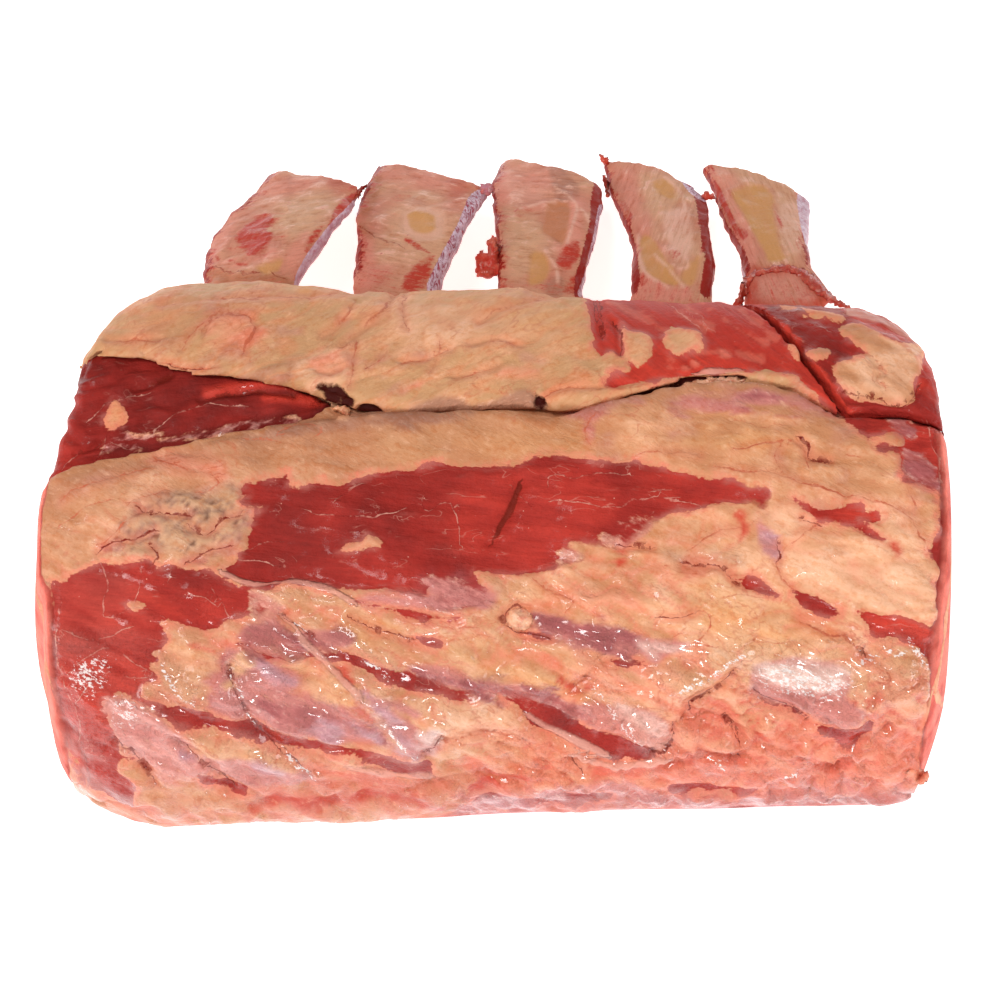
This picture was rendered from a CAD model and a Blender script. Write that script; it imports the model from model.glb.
import math

import bmesh
import bpy
import numpy as np
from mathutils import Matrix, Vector, noise
from mathutils.bvhtree import BVHTree


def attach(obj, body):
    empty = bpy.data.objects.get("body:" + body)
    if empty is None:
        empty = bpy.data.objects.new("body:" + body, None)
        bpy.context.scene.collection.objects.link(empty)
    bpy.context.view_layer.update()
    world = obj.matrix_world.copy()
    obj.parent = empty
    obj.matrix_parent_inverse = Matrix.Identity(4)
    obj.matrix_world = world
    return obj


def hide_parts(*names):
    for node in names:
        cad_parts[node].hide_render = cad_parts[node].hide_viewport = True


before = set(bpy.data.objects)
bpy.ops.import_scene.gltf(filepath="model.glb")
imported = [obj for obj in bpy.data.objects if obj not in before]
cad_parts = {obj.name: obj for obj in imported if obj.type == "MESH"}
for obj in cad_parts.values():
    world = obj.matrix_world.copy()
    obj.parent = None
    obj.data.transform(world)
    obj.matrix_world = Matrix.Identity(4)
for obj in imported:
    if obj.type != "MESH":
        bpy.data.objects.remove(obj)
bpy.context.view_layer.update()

# ---------------------------------------------------------------- camera
# The photograph looks down on the rack from the thick meat edge, 60 degrees above
# the table and from a little over a metre away. All that is placed by the
# photograph goes through the same projection.
PHOTO_SIZE = 1000.0
PHOTO_MIDDLE = PHOTO_SIZE / 2
SENSOR = 36.0
LENS = 108.0
FOCAL = PHOTO_SIZE * LENS / SENSOR
ELEVATION = math.radians(60.0)
DISTANCE = 1.130
AIM = Vector((0.0037, -0.0365, 0.055))
FAR_CLIP = 20.0


def add_object(name, data):
    obj = bpy.data.objects.new(name, data)
    bpy.context.scene.collection.objects.link(obj)
    return obj


camera_data = bpy.data.cameras.new("camera")
camera_data.lens = LENS
camera_data.sensor_width = SENSOR
camera_data.clip_end = FAR_CLIP
camera = add_object("camera", camera_data)
to_camera = Vector((0.0, -math.cos(ELEVATION), math.sin(ELEVATION)))
camera.location = AIM + to_camera * DISTANCE
camera.rotation_euler = (math.pi / 2 - ELEVATION, 0.0, 0.0)
bpy.context.scene.camera = camera
bpy.context.scene.view_settings.view_transform = "Standard"

# ---------------------------------------------------------------- floor and light
# A white light table under even studio light: one wide soft box above, one in front
# that puts the wet highlights on the front slope, two low ones that light the cut
# ends, one that keeps the table behind the bones white, and a white room.
WHITE = (1.0, 1.0, 1.0, 1.0)
FLOOR_SIZE = 12.0
FLOOR_FINISH = {
    "Base Color": (0.95, 0.95, 0.95, 1.0),
    "Roughness": 0.9,
    "Specular IOR Level": 0.1,
    "Emission Color": WHITE,
    "Emission Strength": 0.72,
}
ROOM_GLOW = 0.33


def set_sockets(shader_node, values):
    for name, value in values.items():
        shader_node.inputs[name].default_value = value


bm = bmesh.new()
bmesh.ops.create_grid(bm, x_segments=8, y_segments=8, size=FLOOR_SIZE / 2)
floor_mesh = bpy.data.meshes.new("floor")
bm.to_mesh(floor_mesh)
bm.free()
floor = add_object("floor", floor_mesh)
floor_material = bpy.data.materials.new("pale table")
floor_material.use_nodes = True
set_sockets(floor_material.node_tree.nodes["Principled BSDF"], FLOOR_FINISH)
floor_mesh.materials.append(floor_material)

world = bpy.data.worlds.new("white room")
world.use_nodes = True
set_sockets(world.node_tree.nodes["Background"], {"Color": WHITE, "Strength": ROOM_GLOW})
bpy.context.scene.world = world


def soft_box(name, place, aim, size, watts, spread=180.0):
    lamp = bpy.data.lights.new(name, "AREA")
    lamp.shape = "RECTANGLE"
    lamp.size, lamp.size_y = size
    lamp.energy = watts
    lamp.spread = math.radians(spread)
    lamp_object = add_object(name, lamp)
    lamp_object.location = place
    turn = (Vector(aim) - Vector(place)).to_track_quat("-Z", "Y")
    lamp_object.rotation_euler = turn.to_euler()


soft_box("top box", (-0.7, -0.3, 2.4), AIM, (0.7, 0.7), 25.0)
soft_box("front box", (-0.15, -1.9, 1.45), AIM, (0.45, 0.3), 16.0)
soft_box("left box", (-1.7, -0.5, 0.75), AIM, (0.8, 0.6), 8.0)
soft_box("right box", (1.7, -0.5, 0.75), AIM, (0.8, 0.6), 9.0)
soft_box("back box", (0.0, 1.0, 1.6), (0.0, 1.0, 0.0), (2.4, 0.5), 12.0, 50.0)

# ---------------------------------------------------------------- loin
# The thick muscle block with its fat cover, trimmed unevenly, so that red muscle and
# violet silverskin show in windows through the fat. It is a fine copy of the CAD
# solid, whose vertices learn from traced outlines what covers them.
MM = 0.001
PIXELS_PER_MM = 2.655
FAR = 12.0
MERGE = 1e-5
TINY = 1e-9
SOFT_STEPS = 2
FACING = 0.02
LOIN_VOXEL = 0.00285


def soften(bm):
    bmesh.ops.smooth_vert(bm, verts=bm.verts[:], factor=0.5, use_axis_x=True,
                          use_axis_y=True, use_axis_z=True)


def fine_copy(node, name, voxel):
    """A closed, evenly meshed copy of a CAD node with softened edges, twice as fine
    where it faces the camera."""
    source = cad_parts[node]
    bm = bmesh.new()
    bm.from_mesh(source.data)
    bmesh.ops.remove_doubles(bm, verts=bm.verts, dist=MERGE)
    mesh = bpy.data.meshes.new(name)
    bm.to_mesh(mesh)
    bm.free()
    obj = add_object(name, mesh)
    remesh = obj.modifiers.new("even mesh", "REMESH")
    remesh.mode = "VOXEL"
    remesh.voxel_size = voxel
    smooth = obj.modifiers.new("soft edges", "SMOOTH")
    smooth.iterations = SOFT_STEPS
    smooth.factor = 0.5
    graph = bpy.context.evaluated_depsgraph_get()
    fine = bpy.data.meshes.new_from_object(obj.evaluated_get(graph))
    obj.modifiers.clear()
    bm = bmesh.new()
    bm.from_mesh(fine)
    edges = {e for f in bm.faces if f.normal.dot(to_camera) > FACING for e in f.edges}
    bmesh.ops.subdivide_edges(bm, edges=list(edges), cuts=1, use_grid_fill=True)
    soften(bm)
    bm.to_mesh(fine)
    bm.free()
    obj.data = fine
    fine.name = name
    fine.materials.clear()
    fine.shade_smooth()
    return obj


def read_mesh(mesh):
    """Vertex places in millimetres and vertex normals."""
    count = len(mesh.vertices)
    place, normal = np.zeros(count * 3), np.zeros(count * 3)
    mesh.vertices.foreach_get("co", place)
    mesh.vertices.foreach_get("normal", normal)
    return place.reshape(-1, 3) / MM, normal.reshape(-1, 3)


def in_photo(place):
    """Where places in millimetres appear in the photograph, in its pixels."""
    x, y, z = (place - np.array(AIM) / MM).T
    up = y * math.sin(ELEVATION) + z * math.cos(ELEVATION)
    depth = DISTANCE / MM + y * math.cos(ELEVATION) - z * math.sin(ELEVATION)
    return PHOTO_MIDDLE + FOCAL * x / depth, PHOTO_MIDDLE - FOCAL * up / depth


def ease(value, low, high):
    t = np.clip((value - low) / (high - low), 0.0, 1.0)
    return t * t * (3.0 - 2.0 * t)


def rounded(points, closed, steps=4):
    """A Catmull-Rom curve through the points."""
    p = np.array(points, float)
    if closed:
        p = np.vstack([p[-1], p, p[0], p[1]])
    else:
        p = np.vstack([2 * p[0] - p[1], p, 2 * p[-1] - p[-2]])
    curve = []
    for a, b, c, d in zip(p, p[1:], p[2:], p[3:]):
        for t in np.arange(steps) / steps:
            bend = 2 * a - 5 * b + 4 * c - d
            turn = 3 * b - a - 3 * c + d
            curve.append(0.5 * (2 * b + (c - a) * t + bend * t * t + turn * t**3))
    if not closed:
        curve.append(p[-2])
    return np.array(curve)


def line_distance(curve, u, v):
    """Pixels to the nearest point of a curve, and on which side of it: +1 or -1."""
    nearest = np.full(len(u), np.inf)
    side = np.ones(len(u))
    for a, b in zip(curve, curve[1:]):
        run = b - a
        length = max(float(run @ run), TINY)
        t = np.clip(((u - a[0]) * run[0] + (v - a[1]) * run[1]) / length, 0.0, 1.0)
        far = np.hypot(u - a[0] - t * run[0], v - a[1] - t * run[1])
        closer = far < nearest
        nearest[closer] = far[closer]
        turn = run[0] * (v - a[1]) - run[1] * (u - a[0])
        side[closer] = np.where(turn[closer] < 0, -1.0, 1.0)
    return nearest, side


NOISE_SPREAD = 0.11
# What the finish reads per vertex, and its value where nothing is painted. Lean, film
# and cavity are millimetres inside their outlines; the rest are amounts.
LAYERS = {"lean": -FAR, "film": -FAR, "crisp": 1.0, "wet": 0.2, "bloodshot": 0.0,
          "web": 1.0, "gape": 0.0, "gleam": 0.0, "cavity": -FAR}


class Canvas:
    """The photograph's view of one piece: its vertices as photo points, in which
    outlines and lines are measured in millimetres."""

    def __init__(self, obj):
        self.mesh = obj.data
        self.place, self.normal = read_mesh(self.mesh)
        self.u, self.v = in_photo(self.place)
        self.count = len(self.u)
        self.rough = 1.0

    def near(self, curve):
        reach = FAR * PIXELS_PER_MM
        low, high = curve.min(0) - reach, curve.max(0) + reach
        inside = (self.u > low[0]) & (self.u < high[0])
        return inside & (self.v > low[1]) & (self.v < high[1])

    def depth(self, *outlines):
        """Millimetres inside the nearest of some closed outlines, negative outside."""
        best = np.full(self.count, -FAR)
        for points in outlines:
            curve = rounded(points, True)
            near = self.near(curve)
            u, v = self.u[near], self.v[near]
            ring = np.vstack([curve, curve[0]])
            far, _ = line_distance(ring, u, v)
            inside = np.zeros(len(u), bool)
            for a, b in zip(ring, ring[1:]):
                crosses = (a[1] > v) != (b[1] > v)
                slope = (b[0] - a[0]) / (b[1] - a[1] if b[1] != a[1] else TINY)
                inside ^= crosses & (u < a[0] + (v - a[1]) * slope)
            signed = np.where(inside, far, -far) / PIXELS_PER_MM
            best[near] = np.maximum(best[near], np.clip(signed, -FAR, FAR))
        return best

    def beyond(self, columns, rows):
        """1 to the right of some columns and below some rows of the photograph."""
        return ease(self.u, *columns) * ease(self.v, *rows)

    def patch(self, outlines, soft):
        """1 inside the outlines and 0 outside, fading over that many millimetres."""
        return ease(self.depth(*outlines), -soft, soft)

    def across(self, *drawn):
        """Signed millimetres across the nearest of some drawn lines."""
        best = np.full(self.count, FAR)
        for points in drawn:
            curve = rounded(points, False)
            near = self.near(curve)
            far, side = line_distance(curve, self.u[near], self.v[near])
            far = np.minimum(far / PIXELS_PER_MM, FAR)
            closer = far < np.abs(best[near])
            best[near] = np.where(closer, far * side, best[near])
        return best

    def ridge(self, drawn, half):
        """1 along drawn lines, falling to 0 at that many millimetres from them."""
        return ease(half - np.abs(self.across(*drawn)), 0.0, half)

    def fold(self, drawn, reach):
        """A flap lying over its neighbour along each line: high on one side only."""
        across = self.across(*drawn)
        return ease(across, -0.8, 0.5) * ease(across, reach, 0.0)

    def cloud(self, size, seed=0.0, octaves=3, points=None):
        """Lumpy noise, mostly within 0.2 of zero, with that size in millimetres."""
        scaled = (self.place if points is None else points) / size + seed
        values = np.array([noise.fractal(p, 1.0, 2.0, octaves) for p in scaled.tolist()])
        return NOISE_SPREAD * (values - values.mean()) / values.std()

    def folds(self, size, stretch, seed):
        """Rounded folds along the streaks: 0 in the creases between them, 1 on top."""
        warp = np.stack([self.cloud(2.0 * size, seed + k, 2) for k in (0.3, 0.6)], 1)
        points = self.streaks * (1.0, 1.0 / stretch, 1.0)
        points[:, :2] += warp * size * 2.0
        return np.minimum(np.abs(self.cloud(size, seed, 2, points)) * 7.0, 1.0)

    def lay(self, name, values):
        """Stores a value per vertex, or one for all, for the finish to read."""
        layer = self.mesh.attributes.new(name, "FLOAT", "POINT")
        layer.data.foreach_set("value", np.full(self.count, values, np.float32))

    def lay_vectors(self, **layers):
        """Stores a colour or a grain's coordinates per vertex."""
        for name, values in layers.items():
            layer = self.mesh.attributes.new(name, "FLOAT_VECTOR", "POINT")
            layer.data.foreach_set("vector", values.astype(np.float32).ravel())

    def lay_line(self, name, *drawn):
        """Stores a set of thin lines: the distance across them and to their ends."""
        across = self.across(*drawn)
        self.lay(name + " across", across)
        self.lay(name + " near", np.abs(across))

    def lay_all(self, **layers):
        for name, rest in LAYERS.items():
            self.lay(name, layers.get(name, rest))

    def turned(self, turn, seed):
        """Coordinates along and across a direction in the photo, in millimetres."""
        du, dv = self.u / PIXELS_PER_MM, self.v / PIXELS_PER_MM
        return np.stack([dv * np.cos(turn) - du * np.sin(turn),
                         du * np.cos(turn) + dv * np.sin(turn),
                         np.full(self.count, seed)], 1)

    def grow(self, fibre_turn, streak_turn, seed):
        """Makes the grain of the muscle and of the film, and the uneven noise."""
        self.fibres = self.turned(fibre_turn, seed)
        self.streaks = self.turned(streak_turn, seed + 0.5)
        self.broad = self.cloud(20.0, seed, 2)
        self.cloudy = self.cloud(7.0, seed + 5.0)

    def lay_grain(self, share):
        """Stores both grains and the noise. Share is how far the second one rules."""
        self.lay_vectors(grain=self.fibres, run=self.streaks)
        long_lumps = (1.0, 0.2, 1.0)
        first = self.cloud(4.5, 2.0, 3, self.fibres * long_lumps)
        second = self.cloud(4.5, 3.0, 3, self.streaks * long_lumps)
        self.strand = first + (second - first) * share
        self.lay("broad", self.broad)
        self.lay("cloudy", self.cloudy)
        self.lay("strand", self.strand)

    def paint(self, fat, lean):
        """Starts the two painted coats: the fat and film cover, and the lean."""
        self.cover = np.tile(fat[:3], (self.count, 1))
        self.flesh = np.tile(lean[:3], (self.count, 1))

    def brush(self, coat, tone, amount):
        """Moves a painted coat towards a tone, by an amount per vertex."""
        coat += (np.array(tone[:3]) - coat) * np.clip(amount, 0.0, 1.0)[:, None]

    def dab(self, coat, strokes):
        """Paints patches: tone, strength, softness in millimetres, outline."""
        ragged = self.rough * (7.0 * self.cloudy + 10.0 * self.strand)
        for tone, strength, soft, outline in strokes:
            inside = ease(self.depth(outline) + ragged, -soft, soft)
            uneven = 1.0 + 3.0 * self.rough * self.strand
            self.brush(coat, tone, inside * strength * uneven)

    def stroke(self, coat, strokes):
        """Paints soft lines: tone, strength, half width in millimetres, points."""
        for tone, strength, half, points in strokes:
            off = np.abs(self.across(points))
            off += self.rough * (6.0 * self.cloudy + 3.0 * self.strand)
            self.brush(coat, tone, ease(off, half * 1.3, 0.0) * strength)

    def lay_paint(self):
        self.lay_vectors(cover=self.cover, flesh=self.flesh)

    def push(self, height):
        """Moves the surface out along its normals by a height in millimetres, but
        never below the table."""
        moved = (self.place + self.normal * height[:, None]) * MM
        moved[:, 2] = np.maximum(moved[:, 2], 0.0)
        self.mesh.vertices.foreach_set("co", moved.ravel())
        self.mesh.update()

    def push_top(self, height):
        """The same, but only where the surface doesn't face down."""
        self.push(height * ease(self.normal[:, 2], -0.3, 0.1))


class Wire:
    """One output of a shader node. Arithmetic on wires adds the Math nodes for it."""

    def __init__(self, tree, socket):
        self.tree = tree
        self.socket = socket

    def math(self, operation, *values):
        inputs = dict(enumerate(values))
        return node(self.tree, "ShaderNodeMath", {"operation": operation}, inputs)

    def __add__(self, other):
        return self.math("ADD", self, other)

    def __radd__(self, other):
        return self.math("ADD", other, self)

    def __sub__(self, other):
        return self.math("SUBTRACT", self, other)

    def __rsub__(self, other):
        return self.math("SUBTRACT", other, self)

    def __mul__(self, other):
        return self.math("MULTIPLY", self, other)

    def __rmul__(self, other):
        return self.math("MULTIPLY", other, self)

    def __abs__(self):
        return self.math("ABSOLUTE", self)

    def most(self, other):
        return self.math("MAXIMUM", self, other)

    def ease(self, low, high, start=0.0, end=1.0):
        """Goes smoothly from start to end as the value goes from low to high."""
        inputs = {"Value": self, "From Min": low, "From Max": high}
        inputs.update({"To Min": start, "To Max": end})
        settings = {"interpolation_type": "SMOOTHSTEP"}
        return node(self.tree, "ShaderNodeMapRange", settings, inputs)


def node(tree, kind, settings, inputs, output=0):
    """Adds a node: first its settings, then the values or wires of its sockets."""
    made = tree.nodes.new(kind)
    for name, value in settings.items():
        setattr(made, name, value)
    for key, value in inputs.items():
        if isinstance(value, Wire):
            tree.links.new(value.socket, made.inputs[key])
        else:
            made.inputs[key].default_value = value
    return Wire(tree, made.outputs[output])


def colour(red, green, blue):
    return (red, green, blue, 1.0)


class Finish:
    """A material under way, with the textures its pieces share."""

    def __init__(self, name):
        self.material = bpy.data.materials.new(name)
        self.material.use_nodes = True
        self.tree = self.material.node_tree
        self.shader = self.tree.nodes["Principled BSDF"]
        self.object_place = node(self.tree, "ShaderNodeTexCoord", {}, {}, "Object")
        # Object coordinates in millimetres.
        scale = {"operation": "SCALE"}
        inputs = {0: self.object_place, "Scale": 1.0 / MM}
        self.place = node(self.tree, "ShaderNodeVectorMath", scale, inputs)

    def value(self, name):
        return node(self.tree, "ShaderNodeAttribute", {"attribute_name": name}, {}, "Fac")

    def vector(self, name):
        settings = {"attribute_name": name}
        return node(self.tree, "ShaderNodeAttribute", settings, {}, "Vector")

    def stretched(self, vector, scale):
        settings = {"operation": "MULTIPLY"}
        return node(self.tree, "ShaderNodeVectorMath", settings, {0: vector, 1: scale})

    def cloud(self, size, detail=2.0, rough=0.5, vector=None, twist=0.0):
        """Noise around zero, mostly within 0.3, with lumps of a size in millimetres."""
        inputs = {"Vector": vector or self.place, "Scale": 1.0 / size}
        inputs.update({"Detail": detail, "Roughness": rough, "Distortion": twist})
        return node(self.tree, "ShaderNodeTexNoise", {}, inputs) - 0.5

    def cells(self, size, feature, vector=None):
        inputs = {"Vector": vector or self.place, "Scale": 1.0 / size}
        settings = {"feature": feature}
        return node(self.tree, "ShaderNodeTexVoronoi", settings, inputs, "Distance")

    def line(self, name, wobble, half):
        """A thin drawn line of that half width, from its two stored distances."""
        off = abs(self.value(name + " across") + wobble)
        near = self.value(name + " near")
        return off.ease(half * 0.6, half * 1.5, 1.0, 0.0) * near.ease(
            half + 0.9, half + 1.9, 1.0, 0.0)

    def mix(self, first, second, share):
        settings = {"data_type": "RGBA", "clamp_factor": True}
        inputs = {0: share, 6: first, 7: second}
        return node(self.tree, "ShaderNodeMix", settings, inputs, 2)

    def scaled(self, tone, factor):
        """A colour made darker or lighter by a wire."""
        settings = {"operation": "SCALE"}
        return node(self.tree, "ShaderNodeVectorMath", settings, {0: tone, "Scale": factor})

    def connect(self, wire, name):
        self.tree.links.new(wire.socket, self.shader.inputs[name])

    def bump(self, height):
        """Feeds a height in millimetres to the shader's normal."""
        inputs = {"Strength": 1.0, "Distance": MM, "Height": height}
        self.connect(node(self.tree, "ShaderNodeBump", {}, inputs), "Normal")


TAN_FAT = colour(0.60, 0.255, 0.12)
ORANGE_FAT = colour(0.74, 0.285, 0.135)
CREAM_FAT = colour(0.80, 0.40, 0.22)
YELLOW_FAT = colour(0.76, 0.375, 0.16)
WHITE_FAT = colour(0.93, 0.53, 0.34)
PINK_FAT = colour(0.88, 0.31, 0.20)
ROSE_FAT = colour(0.80, 0.215, 0.14)
CREASE = colour(0.56, 0.13, 0.065)
BLOOD = colour(0.62, 0.06, 0.035)
STAIN = colour(0.43, 0.20, 0.13)
GREY_STAIN = colour(0.46, 0.255, 0.165)
PUTTY = colour(0.70, 0.385, 0.215)
THIN_FAT = colour(0.62, 0.28, 0.20)
DARK_LEAN = colour(0.13, 0.011, 0.009)
RED_LEAN = colour(0.33, 0.024, 0.018)
BRIGHT_LEAN = colour(0.50, 0.040, 0.027)
SCARLET = colour(0.60, 0.05, 0.03)
HAZE = colour(0.50, 0.15, 0.12)
VIOLET_FILM = colour(0.39, 0.10, 0.098)
MAUVE_FILM = colour(0.60, 0.21, 0.185)
ROSE_FILM = colour(0.72, 0.28, 0.23)
LILAC_FILM = colour(0.57, 0.27, 0.29)
PALE_FILM = colour(0.92, 0.62, 0.52)
GLEAM = colour(1.0, 0.90, 0.86)
THREAD = colour(0.74, 0.34, 0.26)
CLEFT = colour(0.21, 0.018, 0.010)
HOLLOW = colour(0.055, 0.006, 0.004)


def paint_fat(skin, redder, paler):
    """Fat is uneven at every size: cream on its rises, rosy where blood has seeped."""
    broad, cloudy, strand = skin.broad, skin.cloudy, skin.strand
    rise = strand + cloudy + broad
    thin = skin.cloud(12.0, 31.0)
    skin.brush(skin.cover, THIN_FAT, ease(thin + 0.5 * strand, 0.02, 0.3) * 0.75)
    skin.brush(skin.cover, CREAM_FAT, 0.45 + 1.9 * rise + paler)
    skin.brush(skin.cover, WHITE_FAT, ease(rise + 0.6 * paler, 0.06, 0.7) * 0.75)
    seep = 1.5 * strand - 1.5 * broad - 0.9 * cloudy + redder
    skin.brush(skin.cover, PINK_FAT, ease(seep, 0.0, 0.8))
    skin.brush(skin.cover, ROSE_FAT, ease(seep, 0.35, 1.3) * 0.8)


def paint_lean(skin, darker):
    """Muscle runs from nearly black to bright red, in streaks along its fibres."""
    broad, cloudy, strand = skin.broad, skin.cloudy, skin.strand
    skin.brush(skin.flesh, BRIGHT_LEAN, 0.35 + 2.0 * broad + cloudy + strand - darker)
    dark = darker + 0.9 * strand + 0.6 * cloudy - 0.9 * broad - 0.1
    skin.brush(skin.flesh, DARK_LEAN, dark)
    skin.brush(skin.flesh, HAZE, ease(1.5 * strand + cloudy - darker, 0.12, 0.6) * 0.25)


def meat_finish(name):
    """Fat, lean, silverskin, threads and cracks, where the piece's layers say."""
    f = Finish(name)
    film_mm, wet = f.value("film"), f.value("wet")
    broad, cloudy, strand = f.value("broad"), f.value("cloudy"), f.value("strand")
    cover, flesh = f.vector("cover"), f.vector("flesh")
    grain, run = f.vector("grain"), f.vector("run")
    fine = f.cloud(1.9, 3.0, 0.6)
    grainy = f.cloud(0.7, 2.0, 0.6)
    fibre = f.cloud(1.2, 3.0, 0.65, f.stretched(grain, (1.0, 0.09, 1.0)))
    streak = f.cloud(1.7, 4.0, 0.62, f.stretched(run, (1.0, 0.32, 1.0)))
    glint = f.cloud(0.8, 3.0, 0.7, f.stretched(run, (1.0, 0.45, 1.0)))

    # Ragged borders: noise moves every edge by a millimetre or two. Where a border
    # isn't crisp the fat thins out over the muscle instead.
    ragged = cloudy * 5.0 + fine * 2.6
    lean_edge = f.value("lean") + ragged * 0.75 + fibre * 2.0 + strand * 3.0
    lean = (lean_edge * f.value("crisp")).ease(-0.3, 0.3)
    fringe = lean_edge.ease(0.0, 3.0, 1.0, 0.0) * lean * (cloudy + strand).ease(-0.15, 0.2)
    film = (film_mm + ragged * 0.8 + strand * 6.0 + streak * 5.0).ease(-0.9, 1.1)
    thread = f.line("thread", cloudy * 3.0 + fine * 0.9, 0.2 + fine * 0.7)
    cord = f.line("cord", cloudy * 1.2 + fine * 0.8, 1.0 + strand * 2.5)
    gape = f.value("gape")
    crack_half = 0.2 + cloudy * 1.3 + fine * 0.5 + gape * 0.95
    crack = f.line("crack", cloudy * 4.0 + fine * 1.8, crack_half)
    vein = f.line("vein", cloudy * 4.0 + fine * 1.2, 0.24 + strand * 0.8 + fine * 0.5)
    cavity = (f.value("cavity") + ragged * 0.8).ease(-0.6, 0.6)

    # Fat: richer in its hollows, creased along the run, with deeper wrinkles.
    crease = abs(f.cloud(4.0, 3.0, 0.6, f.stretched(run, (1.0, 0.32, 1.0)), 0.4))
    crease = crease.ease(0.0, 0.07, 1.0, 0.0) * (cloudy + 0.5)
    rich = f.stretched(cover, (0.88, 0.68, 0.52))
    low = (streak * 1.5 + fine * 1.3 + strand * 0.8).ease(-0.1, 0.4)
    fat = f.mix(cover, rich, (low * 0.7).most(crease * 0.55))
    fat = f.mix(fat, WHITE_FAT, (streak * -1.6 - fine * 0.8).ease(0.08, 0.55) * 0.4)
    wrinkle = abs(f.cloud(7.0, 2.5, 0.55, f.stretched(run, (1.0, 0.5, 1.0)), 0.5))
    wrinkle = wrinkle.ease(0.0, 0.035, 1.0, 0.0)
    wrinkle = wrinkle * (broad + cloudy * 0.5 + f.value("bloodshot")).ease(0.0, 0.45)
    fat = f.mix(fat, CREASE, wrinkle * (fine + 0.4))
    fat = f.mix(fat, CREASE, vein * (fine * 2.0 + strand * 2.0 + 0.38))
    blush = lean_edge.ease(-3.2, -0.2) * (cloudy * 1.5 + fine + 0.42)
    fat = f.mix(fat, ROSE_FAT, blush * f.value("crisp"))
    fat = f.scaled(fat, 1.0 + grainy * 0.12)
    red = f.scaled(flesh, 1.0 + fibre * 0.5 + grainy * 0.2 + fine * 0.3)
    fleck = f.cells(4.2, "F1").ease(0.04, 0.075, 1.0, 0.0) * cloudy.ease(-0.02, 0.1)
    lace = abs(f.cloud(9.0, 3.0, 0.6, f.stretched(grain, (1.0, 0.35, 1.0)), 0.6))
    lace = lace.ease(0.0, 0.012, 1.0, 0.0) * (strand + cloudy).ease(0.02, 0.2)
    red = f.mix(red, THREAD, (fleck * 0.85 + lace * 0.3) * f.value("web"))
    # The film over muscle and fat is streaked along the run, with pale lacy edges.
    skin = f.scaled(cover, 1.0 + streak * 0.9)
    rim = (film_mm + ragged * 0.8).ease(0.2, 3.2, 1.0, 0.0)
    lacy = (streak * 1.5 + fine * 1.4 + rim * 0.1).ease(0.14, 0.6)
    skin = f.mix(skin, PALE_FILM, lacy * 0.3)

    base = f.mix(fat, red, lean)
    base = f.mix(base, HAZE, fringe * 0.75)
    base = f.mix(base, skin, film * (streak * 1.6 + strand + 0.88))
    threads = thread * (strand * 2.0 + fine * 1.6 + 0.26)
    base = f.mix(base, THREAD, threads.most(cord * (strand + 0.6)))
    base = f.mix(base, CLEFT, crack * (fine * 1.6 + 0.75 + gape * 0.5))
    spark = f.value("gleam") * 1.45 + glint * 3.2 + streak * 1.2 + fine * 1.0 - 0.95
    spark = spark.ease(-0.05, 0.3)
    base = f.mix(base, GLEAM, spark * 0.85)
    base = f.mix(base, HOLLOW, cavity)
    f.connect(base, "Base Color")

    # Moist everywhere, wet in patches that break into sparks.
    shine = (wet + film * 0.15 + cloudy * 0.8 - cavity).ease(0.15, 0.85)
    f.connect(0.50 - shine * 0.14 + grainy * 0.2, "Roughness")
    f.connect(shine * (fine + strand).ease(-0.3, 0.06), "Coat Weight")
    set_sockets(f.shader, {"Coat Roughness": 0.1, "Specular IOR Level": 0.08})
    step = (1.0 - lean_edge.ease(-1.2, 0.5)) * 0.3
    crinkle = fine * (shine * 1.7 + 0.32) + streak * (film * 0.3 + shine * 0.5 + 0.25)
    crinkle = crinkle - crease * 0.12 * (1.0 - lean)
    relief = crinkle + grainy * 0.06 + fibre * lean * 0.4 + step - wrinkle * 0.05
    relief = relief + thread * 0.12 + cord * 0.7 - crack * 0.08 - vein * 0.06 - cavity * 0.8
    f.bump(relief)
    return f.material


# Windows of red muscle in the fat cover, in photo pixels.
EYE_MUSCLE = [
    (241,488), (256,480), (275,477), (287,473), (289,485), (301,487), (318,481), (334,484),
    (360,478), (380,472), (400,469), (421,467), (443,462), (462,464), (502,465), (523,461),
    (535,456), (549,453), (564,455), (584,457), (594,462), (617,461), (635,462), (655,466),
    (676,470), (698,475), (716,478), (735,480), (742,484), (750,488), (757,487), (767,492),
    (769,496), (766,505), (762,508), (751,501), (739,503), (721,503), (707,505), (691,509),
    (676,509), (666,514), (655,520), (645,529), (635,538), (621,545), (604,545), (588,543),
    (570,541), (569,546), (576,554), (581,558), (564,563), (553,567), (537,573), (519,574),
    (502,574), (486,572), (474,571), (482,584), (488,594), (472,607), (440,608), (427,598),
    (411,595), (392,591), (360,590), (325,587), (306,583), (282,583), (271,589), (254,589),
    (237,579), (226,577), (226,565), (238,560), (240,553), (247,544), (245,537), (252,525),
    (254,516), (263,506), (256,507), (247,504), (243,501), (249,494), (242,495),
]
LEFT_MUSCLE = [
    (51,582), (61,583), (68,576), (84,570), (101,563), (117,565), (131,563), (146,560),
    (153,565), (159,569), (172,566), (195,569), (209,570), (219,576), (238,586), (249,586),
    (259,596), (268,605), (262,614), (240,616), (224,622), (214,632), (201,633), (189,629),
    (173,624), (160,622), (165,635), (161,649), (152,653), (160,660), (150,667), (157,678),
    (142,684), (138,698), (124,696), (112,698), (101,702), (105,714), (112,731), (116,743),
    (120,755), (134,763), (120,763), (118,773), (132,784), (134,794), (130,804), (120,806),
    (101,792), (81,771), (67,743), (54,714), (48,688), (44,661), (46,624),
]
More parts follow.
